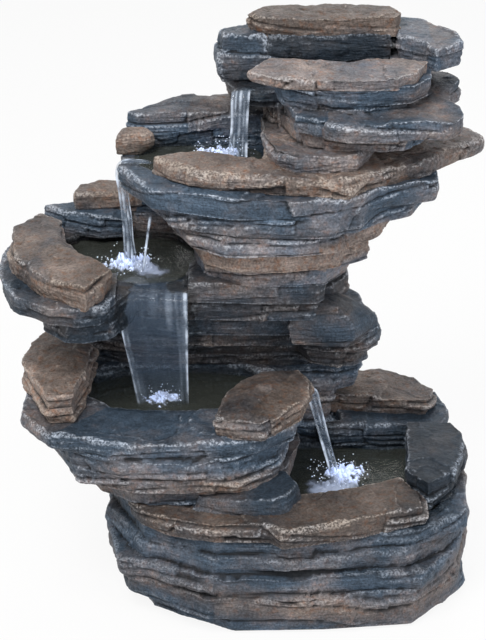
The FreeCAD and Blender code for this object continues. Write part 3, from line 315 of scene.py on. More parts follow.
def insideOutline(points, outline):
    inside = np.zeros(len(points), bool)
    for (x0, y0), (x1, y1) in zip(outline, np.roll(outline, -1, axis=0)):
        crosses = (y0 > points[:, 1]) != (y1 > points[:, 1])
        height = np.where(crosses, (points[:, 1] - y0) / (y1 - y0 if y1 != y0 else 1e-9), 0)
        inside ^= crosses & (points[:, 0] < x0 + height * (x1 - x0))
    return inside


outlines = {name: poolOutline(pool) for name, pool in pools.items()}
print("pools:", {name: len(outline) for name, outline in outlines.items()})


def ramp(values, low, high):
    share = np.clip((values - low) / (high - low), 0, 1)
    return share * share * (3 - 2 * share)


def boxDistance(points, low, high):
    outside = np.maximum(np.array(low) - points, points - np.array(high))
    return np.linalg.norm(np.maximum(outside, 0), axis=1)


def looseness(points):
    loose = np.ones(len(points))
    for low, high in stillPlaces:
        loose *= ramp(boxDistance(points, low, high), 0, stillFade)
    return loose


def layerOf(height, levels):
    layer = np.searchsorted(levels, height)
    return layer, np.minimum(height - levels[layer - 1], levels[layer] - height)


# Where a piece swells out or draws in, in millimetres: middle of the place, reach and shift.
swells = {
    "crown_casting": (((104, 58, 346), 28, (2, 0, 3)), ((113, 30, 344), 26, (-10, 0, 0)),
                      ((108, -14, 343), 24, (6, 0, -4))),
    "crown_back_stone": (((84, -26, 366), 26, (6, 0, 0)),),
    "crown_left_stone": (((-17, 72, 353), 24, (8, 6, 0)),),
    "upper_tier_casting": (((64, -28, 272), 42, (-13, 4, 0)), ((46, 0, 243), 26, (8, 0, 0))),
    "upper_back_stone": (((-102, 56, 318), 24, (-6, 0, 0)),),
    "middle_tier_casting": (((44, 12, 212), 28, (-11, 0, 0)), ((-172, -50, 214), 34, (8, 0, 2))),
    "middle_boulder": (((-190, -8, 237), 26, (6, 0, 0)),),
    "base_back_stone": (((102, 82, 101), 32, (0, 0, -7)), ((42, 72, 95), 32, (-10, 0, 0))),
    "base_back_ledge": (((42, 80, 80), 28, (-9, 0, 0)),),
    "base_casting": (((-108, -10, 26), 34, (6, 0, 0)),),
    "upper_left_stone": (((-109, 44, 313), 15, (0, 0, 4)), ((-99, 44, 306), 14, (5, 0, 1))),
    "middle_back_cap": (((-112, 90, 246), 24, (8, 0, 0)),),
}


def groove(distance, width):
    return np.exp(-(distance / width) ** 2)


def weathered(points, normals, look, places):
    def noise(name, spots=points):
        return waves(spots, *slate[name])

    fault = look["fault"]
    where = points[:, :2] / slate["slabSize"] + noise("slabWarp")[:, None]
    slab = points[:, 2] / slate["slabHeight"] + noise("slabLift")
    cell, offset, split = brokenCells(np.column_stack([where, slab]), seeds["slabs"])
    shift, tiltX, tiltY, stand, hue = (cellValue(cell, seed) for seed in seeds["slabTraits"])
    dip = noise("dipLong", points * (1, 1, 0)) + noise("dipShort")
    height = points[:, 2] + slate["dip"] * look["sweep"] * dip + slate["slabShift"] * fault * shift
    height += slate["slabSize"] * slate["slabTilt"] * fault * (tiltX * offset[:, 0] + tiltY * offset[:, 1])
    bed, joint = layerOf(height, bedLevels)
    leaf, crack = layerOf(height + noise("leafWarp"), leafLevels)
    onBed = np.column_stack([points[:, :2] + noise("bedWarp")[:, None], bed * 1.0])
    onLeaf = np.column_stack([points[:, :2], leaf * 1.0])
    block, _, border = brokenCells(onBed / (slate["blockSize"], slate["blockSize"], 1), seeds["blocks"])

    # outward push of the sides
    push = slate["blockDepth"] * cellValue(block, seeds["blockDepths"]) + slate["slabDepth"] * stand
    push -= slate["splitDepth"] * groove(split * slate["slabSize"], slate["splitWidth"])
    edge = groove(border * slate["blockSize"], slate["splitWidth"])
    push -= slate["blockSplit"] * slate["splitDepth"] * edge
    push = fault * push + noise("bedWaves", onBed)
    push -= slate["jointDepth"] * groove(joint, slate["jointWidth"])
    leafy = ramp(hashUnit(bed, bed + 2, bed, seeds["leafyBeds"]) + noise("leafPatches"), *slate["leafFrom"])
    leafy = slate["leafLeast"] + (1 - slate["leafLeast"]) * leafy
    leaves = noise("leafWaves", onLeaf) - slate["crackDepth"] * groove(crack, slate["crackWidth"])
    push += slate["leafDepth"] * leafy * leaves
    for kind in ("bulges", "chips", "grit"):
        push += noise(kind)
    push = np.where(push < 0, slate["deepest"] * np.tanh(push / slate["deepest"]), push)

    # lift of the tops
    cleft = noise("clefts") + noise("cleftEdges")
    lift = slate["stepDepth"] * (sum(ramp(cleft, *step) for step in slate["cleftSteps"]) - 1)
    lift += noise("topChips") + noise("topGrit")
    level = np.hypot(normals[:, 0], normals[:, 1])
    outward = normals * (1, 1, 0) / np.maximum(level, 1e-6)[:, None]
    upward = ramp(normals[:, 2], *slate["topFrom"])
    loose = looseness(points) * look["relief"]
    moved = points + normals * look["grow"]
    moved += outward * (push * ramp(level, *slate["sideFrom"]) * loose)[:, None]
    moved[:, 2] += loose * (lift * upward + slate["lean"] * dip * ramp(points[:, 2], *slate["leanFrom"]))
    moved[:, 2] = np.maximum(moved[:, 2], slate["lowest"])
    for middle, reach, way in places:
        away = np.linalg.norm(points - np.array(middle), axis=1)
        moved += (1 - ramp(away, slate["swellCore"] * reach, reach))[:, None] * np.array(way)
    return moved, bed, height, upward, fault * hue


def evened(values, ends, times):
    # each value drawn halfway to the mean of its neighbours
    first, second = ends.T
    count = np.maximum(np.bincount(ends.ravel(), minlength=len(values)), 1)[:, None]
    for _ in range(times):
        total = np.column_stack([
            np.bincount(first, column[second], len(values)) + np.bincount(second, column[first], len(values))
            for column in values.T])
        values = 0.5 * values + 0.5 * total / count
    return values


# Rock that the falls run over: low and high corner in millimetres.
wetPlaces = (
    ((-118, -30, 120), (-66, 30, 222)), ((-122, 16, 216), (-96, 44, 302)), ((-46, 30, 298), (-18, 56, 352)),
    ((-6, 8, 66), (34, 40, 134)),
)
wetLook = {"past": 0.06, "above": (2, 12), "below": 12, "falls": 0.8, "edge": (3, 14, 45), "fade": 6}


def wetness(points):
    wet = np.zeros(len(points))
    for name, pool in pools.items():
        outline = outlines[name] + wetLook["past"] * (outlines[name] - outlines[name].mean(0))
        near = 1 - ramp(points[:, 2] - pool["level"], *wetLook["above"])
        near *= points[:, 2] > pool["floor"] - wetLook["below"]
        wet = np.maximum(wet, insideOutline(points[:, :2], outline) * near)
    for low, high in wetPlaces:
        away = boxDistance(points, low, high) + waves(points, *wetLook["edge"])
        wet = np.maximum(wet, wetLook["falls"] * (1 - ramp(away, 0, wetLook["fade"])))
    return wet


# Each rock piece: share of brown, or shares by height for a casting; how light it is, partly its paint's own
# tone and partly painted shade for where it sits low, at the back or on the shaded side; how worn its edges
# are, partly real wear and partly painted highlight; how far its slabs stand apart (fault), its beds wave
# (sweep) and its sides are broken (relief); growth in mm; triangles it may have.
castingTriangles, doorTriangles, stoneTriangles = 180000, 40000, 48000
plainLook = {"fault": 1, "sweep": 1, "relief": 1, "wearAndHighlight": 1, "triangles": stoneTriangles}
rocks = {}
castings = {  # shares of brown by height, lightness with painted shade, worn edges with painted highlight, fault, sweep
    "base_casting": (((2, .1), (12, .3), (22, .75), (30, .6), (40, .2), (52, .05), (62, .02), (70, .02)),
                     .78, .4, .35, 2.3),
    "lower_tier_casting": (((68, 0), (80, .05), (88, .5), (100, .7), (112, .35), (122, 0), (135, -.05)),
                           1.05, 1.2, .5, 1.6),
    "middle_tier_casting": (((135, .2), (150, .42), (165, .25), (180, .12), (195, .3), (223, .15)),
                            .52, .8, .55, 1.6),
    "upper_tier_casting": (((223, .1), (233, .25), (243, 1.1), (252, 1), (261, .22), (280, .12), (298, 0)),
                           1.05, 1.2, .5, 1.6),
    "crown_casting": (((310, .5), (322, .6), (334, .22), (346, .15), (351, .35), (358, .08), (362, .08)),
                      1.02, 1.2, .7, 1.4),
}
for node, (bands, lightnessAndShade, wearAndHighlight, fault, sweep) in castings.items():
    rocks[node] = plainLook | {"bands": bands, "lightnessAndShade": lightnessAndShade, "wearAndHighlight": wearAndHighlight, "fault": fault, "sweep": sweep,
                               "grow": 0.2, "triangles": castingTriangles}
rocks["rear_access_door"] = plainLook | {"brown": 0.45, "lightnessAndShade": 0.9, "grow": -0.15,
                                         "triangles": doorTriangles}
looseStones = {  # share of brown, lightness with painted shade, growth, worn edges with painted highlight
    "base_right_stone": (.05, .37, .9, .8), "base_back_ledge": (.1, .62, .9, .8),
    "middle_back_stone": (.1, .9, .9, 1.2), "middle_wall_stone": (.1, .8, 1.6, 1.2),
    "upper_back_stone": (.08, .85, 2, 1.2), "crown_right_stone": (.1, 1, 2.2, 1.2),
    "crown_back_stone": (.05, .28, 2.2, .5), "crown_left_stone": (.08, .62, 1.8, 1.2),
    "base_front_stone": (.8, .55, .9, 1.2), "base_back_stone": (.9, .74, .9, .9),
    "lower_left_boulder": (.92, 1.12, .9, 1.2), "lower_front_boulder": (.72, .68, .9, 1.2),
    "middle_boulder": (.9, .66, .9, 1.2), "middle_back_cap": (.95, .9, .9, 1.2),
    "upper_left_stone": (1.1, .9, .9, 1.2), "upper_rim_stone": (.9, .78, .9, .9),
    "crown_front_stone": (.88, 1.26, .9, 1.2), "crown_capstone": (.95, .6, .9, 1.2),
}
for node, (brown, lightnessAndShade, grow, wearAndHighlight) in looseStones.items():
    rocks[node] = plainLook | {"brown": brown, "lightnessAndShade": lightnessAndShade, "grow": grow, "wearAndHighlight": wearAndHighlight, "fault": 0.7}

laidStones = {  # bedded between the castings: corners in mm, share of brown, lightness with painted shade, worn edges with painted highlight, relief
    "lower_slab": (((-66, -80, 82), (-45, -87, 82), (-10, -91, 82), (1, -84, 82), (10, -64, 82), (2, -44, 82),
                    (-30, -40, 82), (-64, -50, 82), (-62, -76, 92), (-42, -83, 94), (-10, -87, 94),
                    (-1, -80, 94), (7, -64, 95), (-1, -46, 96), (-30, -42, 96), (-60, -50, 93)),
                   .08, .6, .9, .7),
    "right_boulder": (((0, -4, 186), (6, -4, 200), (15, -3, 208), (35, -4, 203), (45, -5, 190), (48, -5, 178),
                       (41, -6, 172), (3, -5, 174), (24, -8, 187), (20, 18, 206), (36, 18, 203),
                       (55, 18, 192), (64, 20, 184), (65, 22, 173), (54, 20, 164), (30, 45, 198),
                       (55, 45, 183), (50, 45, 166), (5, 40, 175), (5, 40, 192)),
                      .35, .5, .8, .5),
    "back_chip": (((14, 92, 190), (32, 83, 190), (14, 92, 212), (32, 83, 212), (15, 84, 190), (31, 75, 190),
                   (15, 84, 212), (31, 75, 212)),
                  .3, .4, .6, .5),
}
for node, (corners, brown, lightnessAndShade, wearAndHighlight, relief) in laidStones.items():
    rocks[node] = plainLook | {"corners": corners, "brown": brown, "lightnessAndShade": lightnessAndShade, "grow": 0.3, "wearAndHighlight": wearAndHighlight,
                               "fault": 0.3, "relief": relief, "slot": "slate_blue"}
voxel = {"least": 0.0009, "perTriangle": 2.25, "mergeWithin": 1e-6}  # metres


def meshAfter(carrier):
    # the carrier's mesh with its modifier applied; the carrier itself goes
    shape = carrier.evaluated_get(bpy.context.evaluated_depsgraph_get())
    made = bpy.data.meshes.new_from_object(shape)
    plain = carrier.data
    bpy.data.objects.remove(carrier)
    bpy.data.meshes.remove(plain)
    return made


def voxelCopy(node, look):
    work = bmesh.new()
    if node in nodes:
        work.from_mesh(nodes[node].data)
        bmesh.ops.remove_doubles(work, verts=work.verts, dist=voxel["mergeWithin"])
    else:
        for corner in look["corners"]:
            work.verts.new([value / 1000 for value in corner])
        bmesh.ops.convex_hull(work, input=work.verts)
        bmesh.ops.recalc_face_normals(work, faces=work.faces)
    area = sum(face.calc_area() for face in work.faces)
    mesh = bpy.data.meshes.new("carrier")
    work.to_mesh(mesh)
    work.free()
    carrier = placed("carrier", mesh)
    voxels = carrier.modifiers.new("voxels", "REMESH")
    voxels.mode = "VOXEL"
    voxels.voxel_size = max(voxel["least"], math.sqrt(voxel["perTriangle"] * area / look["triangles"]))
    return meshAfter(carrier)


def addColours(mesh, name, values):
    layer = mesh.attributes.new(name, "FLOAT_COLOR", "POINT")
    filled = np.column_stack([values, np.ones(len(values))])
    layer.data.foreach_set("color", filled.astype(np.float32).ravel())


patinaAndPaintedLight = {  # steps of evening, then where edge wear with painted highlight, painted shade in the cracks and the tints start and end
    "sharpSteps": 4, "broadSteps": 26, "litFrom": (-0.3, 0.5), "litLeast": 0.4, "sharpWearAndHighlight": (0.09, 0.4),
    "broadWearAndHighlight": (0.8, 2.4), "broadShare": 0.15, "sharpCreviceShade": (0.05, 0.36), "sharpShare": 0.6,
    "broadCreviceShade": (0.15, 1.7), "brownPatches": (0.3, (44, 44, 17), 41), "slabTint": 0.28, "bedTint": 0.26,
    "bedTone": 0.45, "tonePatches": (0.5, (30, 30, 10), 43, 4),
}


def makeRock(node, look, finish):
    mesh = voxelCopy(node, look)
    points = vertexValues(mesh, "co") * 1000
    ends = np.empty(len(mesh.edges) * 2, np.int32)
    mesh.edges.foreach_get("vertices", ends)
    ends = ends.reshape(-1, 2)
    normals = vertexValues(mesh, "normal")
    moved, bed, height, upward, hue = weathered(points, normals, look, swells.get(node, ()))
    moved = evened(moved, ends, slate["soften"])
    mesh.vertices.foreach_set("co", (moved / 1000).astype(np.float32).ravel())
    mesh.update()
    normals = vertexValues(mesh, "normal")
    sharp, broad = (((moved - evened(moved, ends, patinaAndPaintedLight[steps])) * normals).sum(1)
                    for steps in ("sharpSteps", "broadSteps"))
    # pale edges, partly real wear and partly painted highlight: sharp edges count most where they face up
    # into the light
    lit = patinaAndPaintedLight["litLeast"] + (1 - patinaAndPaintedLight["litLeast"]) * ramp(normals[:, 2], *patinaAndPaintedLight["litFrom"])
    wearAndHighlight = lit * ramp(sharp, *patinaAndPaintedLight["sharpWearAndHighlight"]) + patinaAndPaintedLight["broadShare"] * ramp(broad, *patinaAndPaintedLight["broadWearAndHighlight"])
    wearAndHighlight = np.clip(look["wearAndHighlight"] * wearAndHighlight, 0, 1)
    # painted shade: darker in creases and hollows, from sharp and broad concavity
    creviceShade = ramp(-sharp, *patinaAndPaintedLight["sharpCreviceShade"]) * patinaAndPaintedLight["sharpShare"] + ramp(-broad, *patinaAndPaintedLight["broadCreviceShade"])
    if "bands" in look:
        brown = np.interp(height, *zip(*look["bands"]))
    else:
        brown = np.full(len(points), look["brown"])
    brown += waves(points, *patinaAndPaintedLight["brownPatches"]) + patinaAndPaintedLight["slabTint"] * hue
    brown += patinaAndPaintedLight["bedTint"] * (hashUnit(bed, bed, bed, seeds["bedBrown"]) - 0.5)
    toneAndShade = (1 - patinaAndPaintedLight["bedTone"]) * (0.5 + waves(points, *patinaAndPaintedLight["tonePatches"]))
    toneAndShade += patinaAndPaintedLight["bedTone"] * hashUnit(bed, bed + 1, bed, seeds["bedTone"])
    # the bed tone scaled by the piece's lightness: its own paint tone and painted shade for where it sits
    toneAndShade = look["lightnessAndShade"] * (0.5 + np.clip(toneAndShade, 0, 1)) / 2
    addColours(mesh, "paint", np.column_stack([np.clip(brown, 0, 1), wearAndHighlight, np.clip(creviceShade, 0, 1)]))
    addColours(mesh, "bed", np.column_stack([toneAndShade, wetness(points), upward]))
    mesh.materials.append(finish)
    piece = placed("rock_" + node, mesh)
    body = "rear_access_door" if node == "rear_access_door" else "cascade"
    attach(piece, body)
    if node in nodes:
        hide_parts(node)
    return len(mesh.polygons) * 2


grainLook = {  # stretch of the streaks, and for each output its scale against Size and its detail
    "streaks": (0.35, 0.35, 2.6), "roughness": 0.62, "grainHeight": 0.45,
    "outputs": {"Mottle": (1, 5), "Grain": (8.5, 4), "Streaks": (3, 6)},
}


def grainGroup():
    # mottle, fine grain, thin level streaks and a height from object coordinates; Size is in lumps per metre
    group = bpy.data.node_groups.new("stoneGrain", "ShaderNodeTree")
    group.interface.new_socket("Size", in_out="INPUT", socket_type="NodeSocketFloat")
    source = group.nodes.new("NodeGroupInput")
    result = group.nodes.new("NodeGroupOutput")
    place = group.nodes.new("ShaderNodeTexCoord")
    flatten = addNode(group, "ShaderNodeMapping", Scale=grainLook["streaks"])
    feed(place.outputs["Object"], flatten.inputs["Vector"])
    made = {}
    for name, (factor, detail) in grainLook["outputs"].items():
        noise = addNode(group, "ShaderNodeTexNoise", Detail=detail, Roughness=grainLook["roughness"])
        vector = flatten.outputs["Vector"] if name == "Streaks" else place.outputs["Object"]
        feed(vector, noise.inputs["Vector"])
        feed(times(source.outputs["Size"], factor), noise.inputs["Scale"])
        made[name] = noise.outputs["Fac"]
    fine = times(made["Grain"], grainLook["grainHeight"])
    made["Height"] = mathNode("ADD", fine, mathNode("ADD", made["Mottle"], made["Streaks"]))
    for name, value in made.items():
        group.interface.new_socket(name, in_out="OUTPUT", socket_type="NodeSocketFloat")
        feed(value, result.inputs[name])
    return group


stoneGrain = grainGroup()


def addGrain(tree, size):
    made = addNode(tree, "ShaderNodeGroup", node_tree=stoneGrain)
    made.inputs["Size"].default_value = size
    return made.outputs


def addBump(height, strength, depth):
    bump = addNode(height.id_data, "ShaderNodeBump", Strength=strength, Distance=depth)
    feed(height, bump.inputs["Height"])
    feed(bump.outputs["Normal"], height.id_data.nodes["Principled BSDF"].inputs["Normal"])


def readColours(tree, name):
    source = addNode(tree, "ShaderNodeAttribute", attribute_name=name)
    parts = tree.nodes.new("ShaderNodeSeparateColor")
    feed(source.outputs["Color"], parts.inputs["Color"])
    return parts.outputs


def greyColour(value):
    made = value.id_data.nodes.new("ShaderNodeCombineColor")
    for socket in made.inputs:
        feed(value, socket)
    return made.outputs["Color"]


slatePaint = {  # colours and shares, then the ranges that spread takes
    "blue": (0.058, 0.086, 0.124, 1), "brown": (0.204, 0.164, 0.144, 1), "rust": (0.21, 0.098, 0.052, 1),
    "dark": (0.008, 0.009, 0.011, 1), "paleBlue": (0.56, 0.63, 0.74, 1), "paleTan": (0.54, 0.47, 0.41, 1),
    "wetTint": (0.38, 0.41, 0.42, 1), "creviceShade": 0.92, "wetGloss": 0.3, "grainSize": 75, "patchSize": 26,
    "bump": (0.9, 0.0018), "shader": {"Specular IOR Level": 0.2},
    "brownShare": (0.3, 0.7, -0.36, 0.36), "rustShare": (0.5, 0.7, 0, 0.75), "toneLight": (0, 1, 0, 2),
    "grainLight": (0.25, 0.75, 0.4, 1.6), "streakLight": (0.32, 0.68, 0.74, 1.26),
    "patchLight": (0.3, 0.7, 0.72, 1.28), "topLight": (0, 1, 1.12, 0.88), "flecks": (0.42, 0.64, 0.04, 0.88),
    "gloss": (0.3, 0.7, 0.4, 0.62),
}


def slateFinish():
    finish, tree, shader = newFinish("layeredSlate", **slatePaint["shader"])
    grain, patches = addGrain(tree, slatePaint["grainSize"]), addGrain(tree, slatePaint["patchSize"])
    brown, wearAndHighlight, creviceShade = readColours(tree, "paint")
    toneAndShade, wet, upward = readColours(tree, "bed")

    def laid(value, name):
        return spread(value, *slatePaint[name])

    share = mathNode("ADD", brown, laid(patches["Mottle"], "brownShare"))
    share.node.use_clamp = True
    colour = mixColour(tree, share, slatePaint["blue"], slatePaint["brown"])
    rust = times(laid(patches["Grain"], "rustShare"), share)
    colour = mixColour(tree, rust, colour, slatePaint["rust"])
    # lightness: the bed tone with the piece's painted shade, then grain, streaks and patches
    lightnessAndShade = laid(toneAndShade, "toneLight")
    # topLight paints the tops lighter and the sides darker, as if lit from above
    for value, name in ((grain["Grain"], "grainLight"), (grain["Streaks"], "streakLight"),
                        (patches["Mottle"], "patchLight"), (upward, "topLight")):
        lightnessAndShade = times(lightnessAndShade, laid(value, name))
    colour = mixColour(tree, 1, colour, greyColour(lightnessAndShade), "MULTIPLY")
    # painted shade in the creases and hollows, mixed towards dark
    colour = mixColour(tree, times(creviceShade, slatePaint["creviceShade"]), colour, slatePaint["dark"])
    # pale flecks on the edges: partly real worn paint, partly painted highlight
    pale = mixColour(tree, share, slatePaint["paleBlue"], slatePaint["paleTan"])
    colour = mixColour(tree, times(wearAndHighlight, laid(grain["Grain"], "flecks")), colour, pale)
    soaked = mixColour(tree, 1, colour, slatePaint["wetTint"], "MULTIPLY")
    feed(mixColour(tree, wet, colour, soaked), shader["Base Color"])
    wetGloss = times(wet, slatePaint["wetGloss"])
    feed(mathNode("SUBTRACT", laid(grain["Mottle"], "gloss"), wetGloss), shader["Roughness"])
    addBump(grain["Height"], *slatePaint["bump"])
    return finish


layeredSlate = slateFinish()
triangleCount = sum(makeRock(node, look, layeredSlate) for node, look in rocks.items())
print("rocks:", len(rocks), "pieces,", triangleCount, "triangles")

# Water, in millimetres: pool surfaces with a churned spot under each fall, painted lit and glowing, and the
# falls themselves.
ripple = {
    "rings": 56, "spokes": 140, "crowding": 1.35, "intoRock": 3, "depth": 1.5, "height": 0.55,
    "length": 4.2, "fade": 34, "chop": (0.35, 15, 57, 3), "ragged": (0.42, 8, 51, 3),
    "foamFrom": (0.25, 1.05), "foamRise": 0.35, "foamWaves": (0.5, 3.2, 54, 3), "cellSize": 2.5,
    "cellWarp": (0.35, 3, 58), "cellEdge": (0, 0.5), "cellRise": 0.9, "calmEdge": (0.35, 9, 66, 2),
    "calmFrom": (0.5, 1.1), "calmDims": (0.8, 0.5), "lumpLight": (0.3, 0.95), "lumpFrom": (0.25, 0.8),
    "seamLight": 0.35, "seamEdge": (0.02, 0.22), "coreLight": 0.6, "coreFrom": (0.85, 1),
}
churn = {  # how far the churned spot reaches and how high it stands
    "upperPool": (22, 2.6), "middlePool": (21, 5), "lowerPool": (14, 3), "basePool": (24, 3.8),
    "crownPool": (9, 1),
}


def newPiece(name, mesh, finish):
    mesh.materials.clear()
    mesh.materials.append(finish)
    mesh.shade_smooth()
    piece = placed(name, mesh)
    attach(piece, "cascade")
    return piece


def meshFrom(name, points, faces):
    mesh = bpy.data.meshes.new(name)
    mesh.from_pydata((np.asarray(points) / 1000).tolist(), [], faces)
    return mesh


def edgeDistance(start, way, outline):
    # how far the outline lies from a point inside it, along each way
    reach = np.full(len(way), 1e9)
    for first, second in zip(outline, np.roll(outline, -1, axis=0)):
        along = second - first
        cross = way[:, 0] * along[1] - way[:, 1] * along[0]
        gap = first - start
        safe = np.where(np.abs(cross) < 1e-9, 1e-9, cross)
        out = (gap[0] * along[1] - gap[1] * along[0]) / safe
        share = (gap[0] * way[:, 1] - gap[1] * way[:, 0]) / safe
        meets = (out > 0) & (share >= 0) & (share <= 1)
        reach = np.where(meets, np.minimum(reach, out), reach)
    return reach


def discFaces(rings, spokes, first, turned):
    # a fan round the first point, then rings of quads; turned over for an underside
    faces = [(first, first + 1 + turn, first + 1 + (turn + 1) % spokes) for turn in range(spokes)]
    for ring in range(rings - 1):
        inner = first + 1 + ring * spokes
        outer = inner + spokes
        for turn in range(spokes):
            after = (turn + 1) % spokes
            faces.append((inner + turn, outer + turn, outer + after, inner + after))
    return [face[::-1] for face in faces] if turned else faces


def makePool(name, pool, finish):
    radius, height = churn[name]
    rings, spokes = ripple["rings"], ripple["spokes"]
    start = np.array(pool["splash"], float)
    turns = np.linspace(0, math.tau, spokes, endpoint=False)
    way = np.column_stack([np.cos(turns), np.sin(turns)])
    reach = edgeDistance(start, way, outlines[name]) + ripple["intoRock"]
    steps = (np.arange(1, rings + 1) / rings) ** ripple["crowding"]
    flat = np.vstack([start[None]] + [start + way * (reach * step)[:, None] for step in steps])
    away = np.hypot(*(flat - start).T)
    spots = np.column_stack([flat, np.zeros(len(flat))])
    foam = 1 - ramp(away / radius + waves(spots, *ripple["ragged"]), *ripple["foamFrom"])
    inCells = spots / (ripple["cellSize"], ripple["cellSize"], 1)
    inCells[:, :2] += waves(spots, *ripple["cellWarp"])[:, None]
    cell, _, border = brokenCells(inCells, seeds["foamCells"])
    lump = 0.5 + 0.5 * cellValue(cell, seeds["foamLumps"])
    rise = ripple["foamRise"] + ripple["cellRise"] * lump * ramp(border, *ripple["cellEdge"])
    rise = height * foam * (rise + waves(spots, *ripple["foamWaves"]))
    rise += ripple["height"] * np.sin(away / ripple["length"] * math.tau) * np.exp(-away / ripple["fade"])
    rise += waves(spots, *ripple["chop"])
    top = np.column_stack([flat, pool["level"] + rise])
    under = np.column_stack([flat, np.full(len(flat), pool["level"] - ripple["depth"])])
    faces = discFaces(rings, spokes, 0, False) + discFaces(rings, spokes, len(flat), True)
    rim = 1 + (rings - 1) * spokes
    for turn in range(spokes):
        near, far = rim + turn, rim + (turn + 1) % spokes
        faces.append((near, near + len(flat), far + len(flat), far))
    piece = newPiece("water_" + name, meshFrom("water_" + name, np.vstack([top, under]), faces), finish)
    # calm patch by the lamp: the foam is dimmed there, and it is painted pale and glowing as if lit from
    # below
    calmPaintedGlow = np.zeros(len(flat))
    if "calmPaintedGlow" in pool:
        x, y, size = pool["calmPaintedGlow"]
        patch = np.hypot(flat[:, 0] - x, flat[:, 1] - y) / size + waves(spots, *ripple["calmEdge"])
        calmPaintedGlow = 1 - ramp(patch, *ripple["calmFrom"])
    # white foam with painted light: lumps lit, seams between them shaded and a bright core over the lamp
    least, more = ripple["lumpLight"]
    lumpDim, coreDim = ripple["calmDims"]
    bright = ramp(foam * (least + more * lump), *ripple["lumpFrom"]) * (1 - lumpDim * calmPaintedGlow)
    bright *= ripple["seamLight"] + (1 - ripple["seamLight"]) * ramp(border, *ripple["seamEdge"])
    core = ripple["coreLight"] * ramp(foam, *ripple["coreFrom"]) * (1 - coreDim * calmPaintedGlow)
    upper = np.column_stack([np.maximum(bright, core), calmPaintedGlow, np.ones(len(flat))])
    addColours(piece.data, "foam", np.vstack([upper, np.zeros_like(upper)]))


# Each fall: points of its middle line from the lip down with the half width at each, the side its width runs
# along, and its strands as (place across from -1 to 1, thickness, strength).
falls = {
    "crownFall": (
        ((-32, 40, 345.5, 6.5), (-32.5, 35.5, 344.5, 6.5), (-33, 33, 340, 6.5), (-33.5, 32, 322, 6),
         (-35, 33, 297, 7)),
        (1, 0, 0),
        ((-0.85, 1.5, 1), (-0.45, 1, 0.6), (0.05, 1.3, 0.75), (0.5, 1, 0.6), (0.9, 1.4, 0.9))),
    "upperFall": (
        ((-96, 28, 298.2, 6), (-107, 28, 298, 6.5), (-113.5, 27, 296, 6), (-115, 26, 289, 6),
         (-114, 26, 276, 5.5), (-112, 28, 250, 5.5), (-110.5, 31, 218, 6)),
        (0.75, -0.66, 0),
        ((-0.8, 1.4, 1), (-0.2, 1.5, 1), (0.35, 1, 0.8), (0.9, 1.2, 0.9))),
    "upperTrickle": (
        ((-94.5, 2, 268, 1.2), (-96, 3, 258, 1), (-98.5, 8, 240, 0.9), (-101.5, 16, 218, 0.9)),
        (1, 0, 0), ((0, 1.1, 0.9),)),
    "middleCurtain": (
        ((-93, 14, 217.4, 22), (-93, -8, 217.4, 23.5), (-93, -18, 217.2, 24), (-93, -23, 211, 24),
         (-92, -20, 190, 23), (-90, -14, 160, 20.5), (-87.5, -6.5, 125.5, 18)),
        (1, 0, 0),
        ((-0.98, 1.2, 1), (-0.84, 0.8, 0.45), (-0.3, 0.5, 0.1), (0.2, 0.5, 0.08),
         (0.72, 0.7, 0.32), (0.97, 1.4, 1))),
    "lowerFall": (
        ((4, 21, 127.6, 5), (14, 20, 127.2, 5), (19, 18, 124, 5), (24, 14, 106, 4.5), (30, 7, 84, 4),
         (36, -1, 65, 4)),
        (0.85, 0.53, 0),
        ((-0.9, 1.5, 1), (0.1, 0.9, 0.5), (0.85, 1.3, 0.85))),
}
fallGrid = {  # a grain is how often its noise changes across the fall and down it, and its step in seed
    "along": 70, "across": 40, "evening": 6, "thin": 0.22, "strand": 0.8, "strandShift": 9,
    "drift": 0.08, "driftGrain": ((0.5, 0.03, 0), 0), "film": 0.22, "filmGrain": ((4.5, 0.025, 0), 7),
    "filmFrom": (-0.1, 0.8), "pulse": (0.7, 0.5), "pulseGrain": ((0, 0.16, 0), 3), "wobble": 0.7,
    "wobbleGrain": ((2.2, 0.07, 0), 5), "fadeIn": (0, 0.05), "fadeOut": (0.93, 1),
}


def alongPath(path, count):
    # a smooth line through the points, one row for each step
    path = np.array(path, float)
    lengths = np.concatenate([[0], np.cumsum(np.linalg.norm(np.diff(path[:, :3], axis=0), axis=1))])
    where = np.linspace(0, lengths[-1], count)
    rows = np.column_stack([np.interp(where, lengths, path[:, axis]) for axis in range(path.shape[1])])
    for _ in range(fallGrid["evening"]):
        rows[1:-1] = 0.25 * rows[:-2] + 0.5 * rows[1:-1] + 0.25 * rows[2:]
    return rows, where


def sheetFaces(rowCount, columnCount):
    # front and back of a thin sheet, closed along its four edges
    offset = rowCount * columnCount
    faces = []
    for row in range(rowCount - 1):
        start, end = row * columnCount, (row + 1) * columnCount
        for a, d in zip(range(start, end - 1), range(end, end + columnCount - 1)):
            faces.append((a, d, d + 1, a + 1))
            faces.append((a + offset, a + 1 + offset, d + 1 + offset, d + offset))
        faces.append((start, start + offset, end + offset, end))
        a, d = end - 1, end + columnCount - 1
        faces.append((a, d, d + offset, a + offset))
    last = (rowCount - 1) * columnCount
    for column in range(columnCount - 1):
        faces.append((column, column + 1, column + 1 + offset, column + offset))
        a = last + column
        faces.append((a, a + offset, a + 1 + offset, a + 1))
    return faces


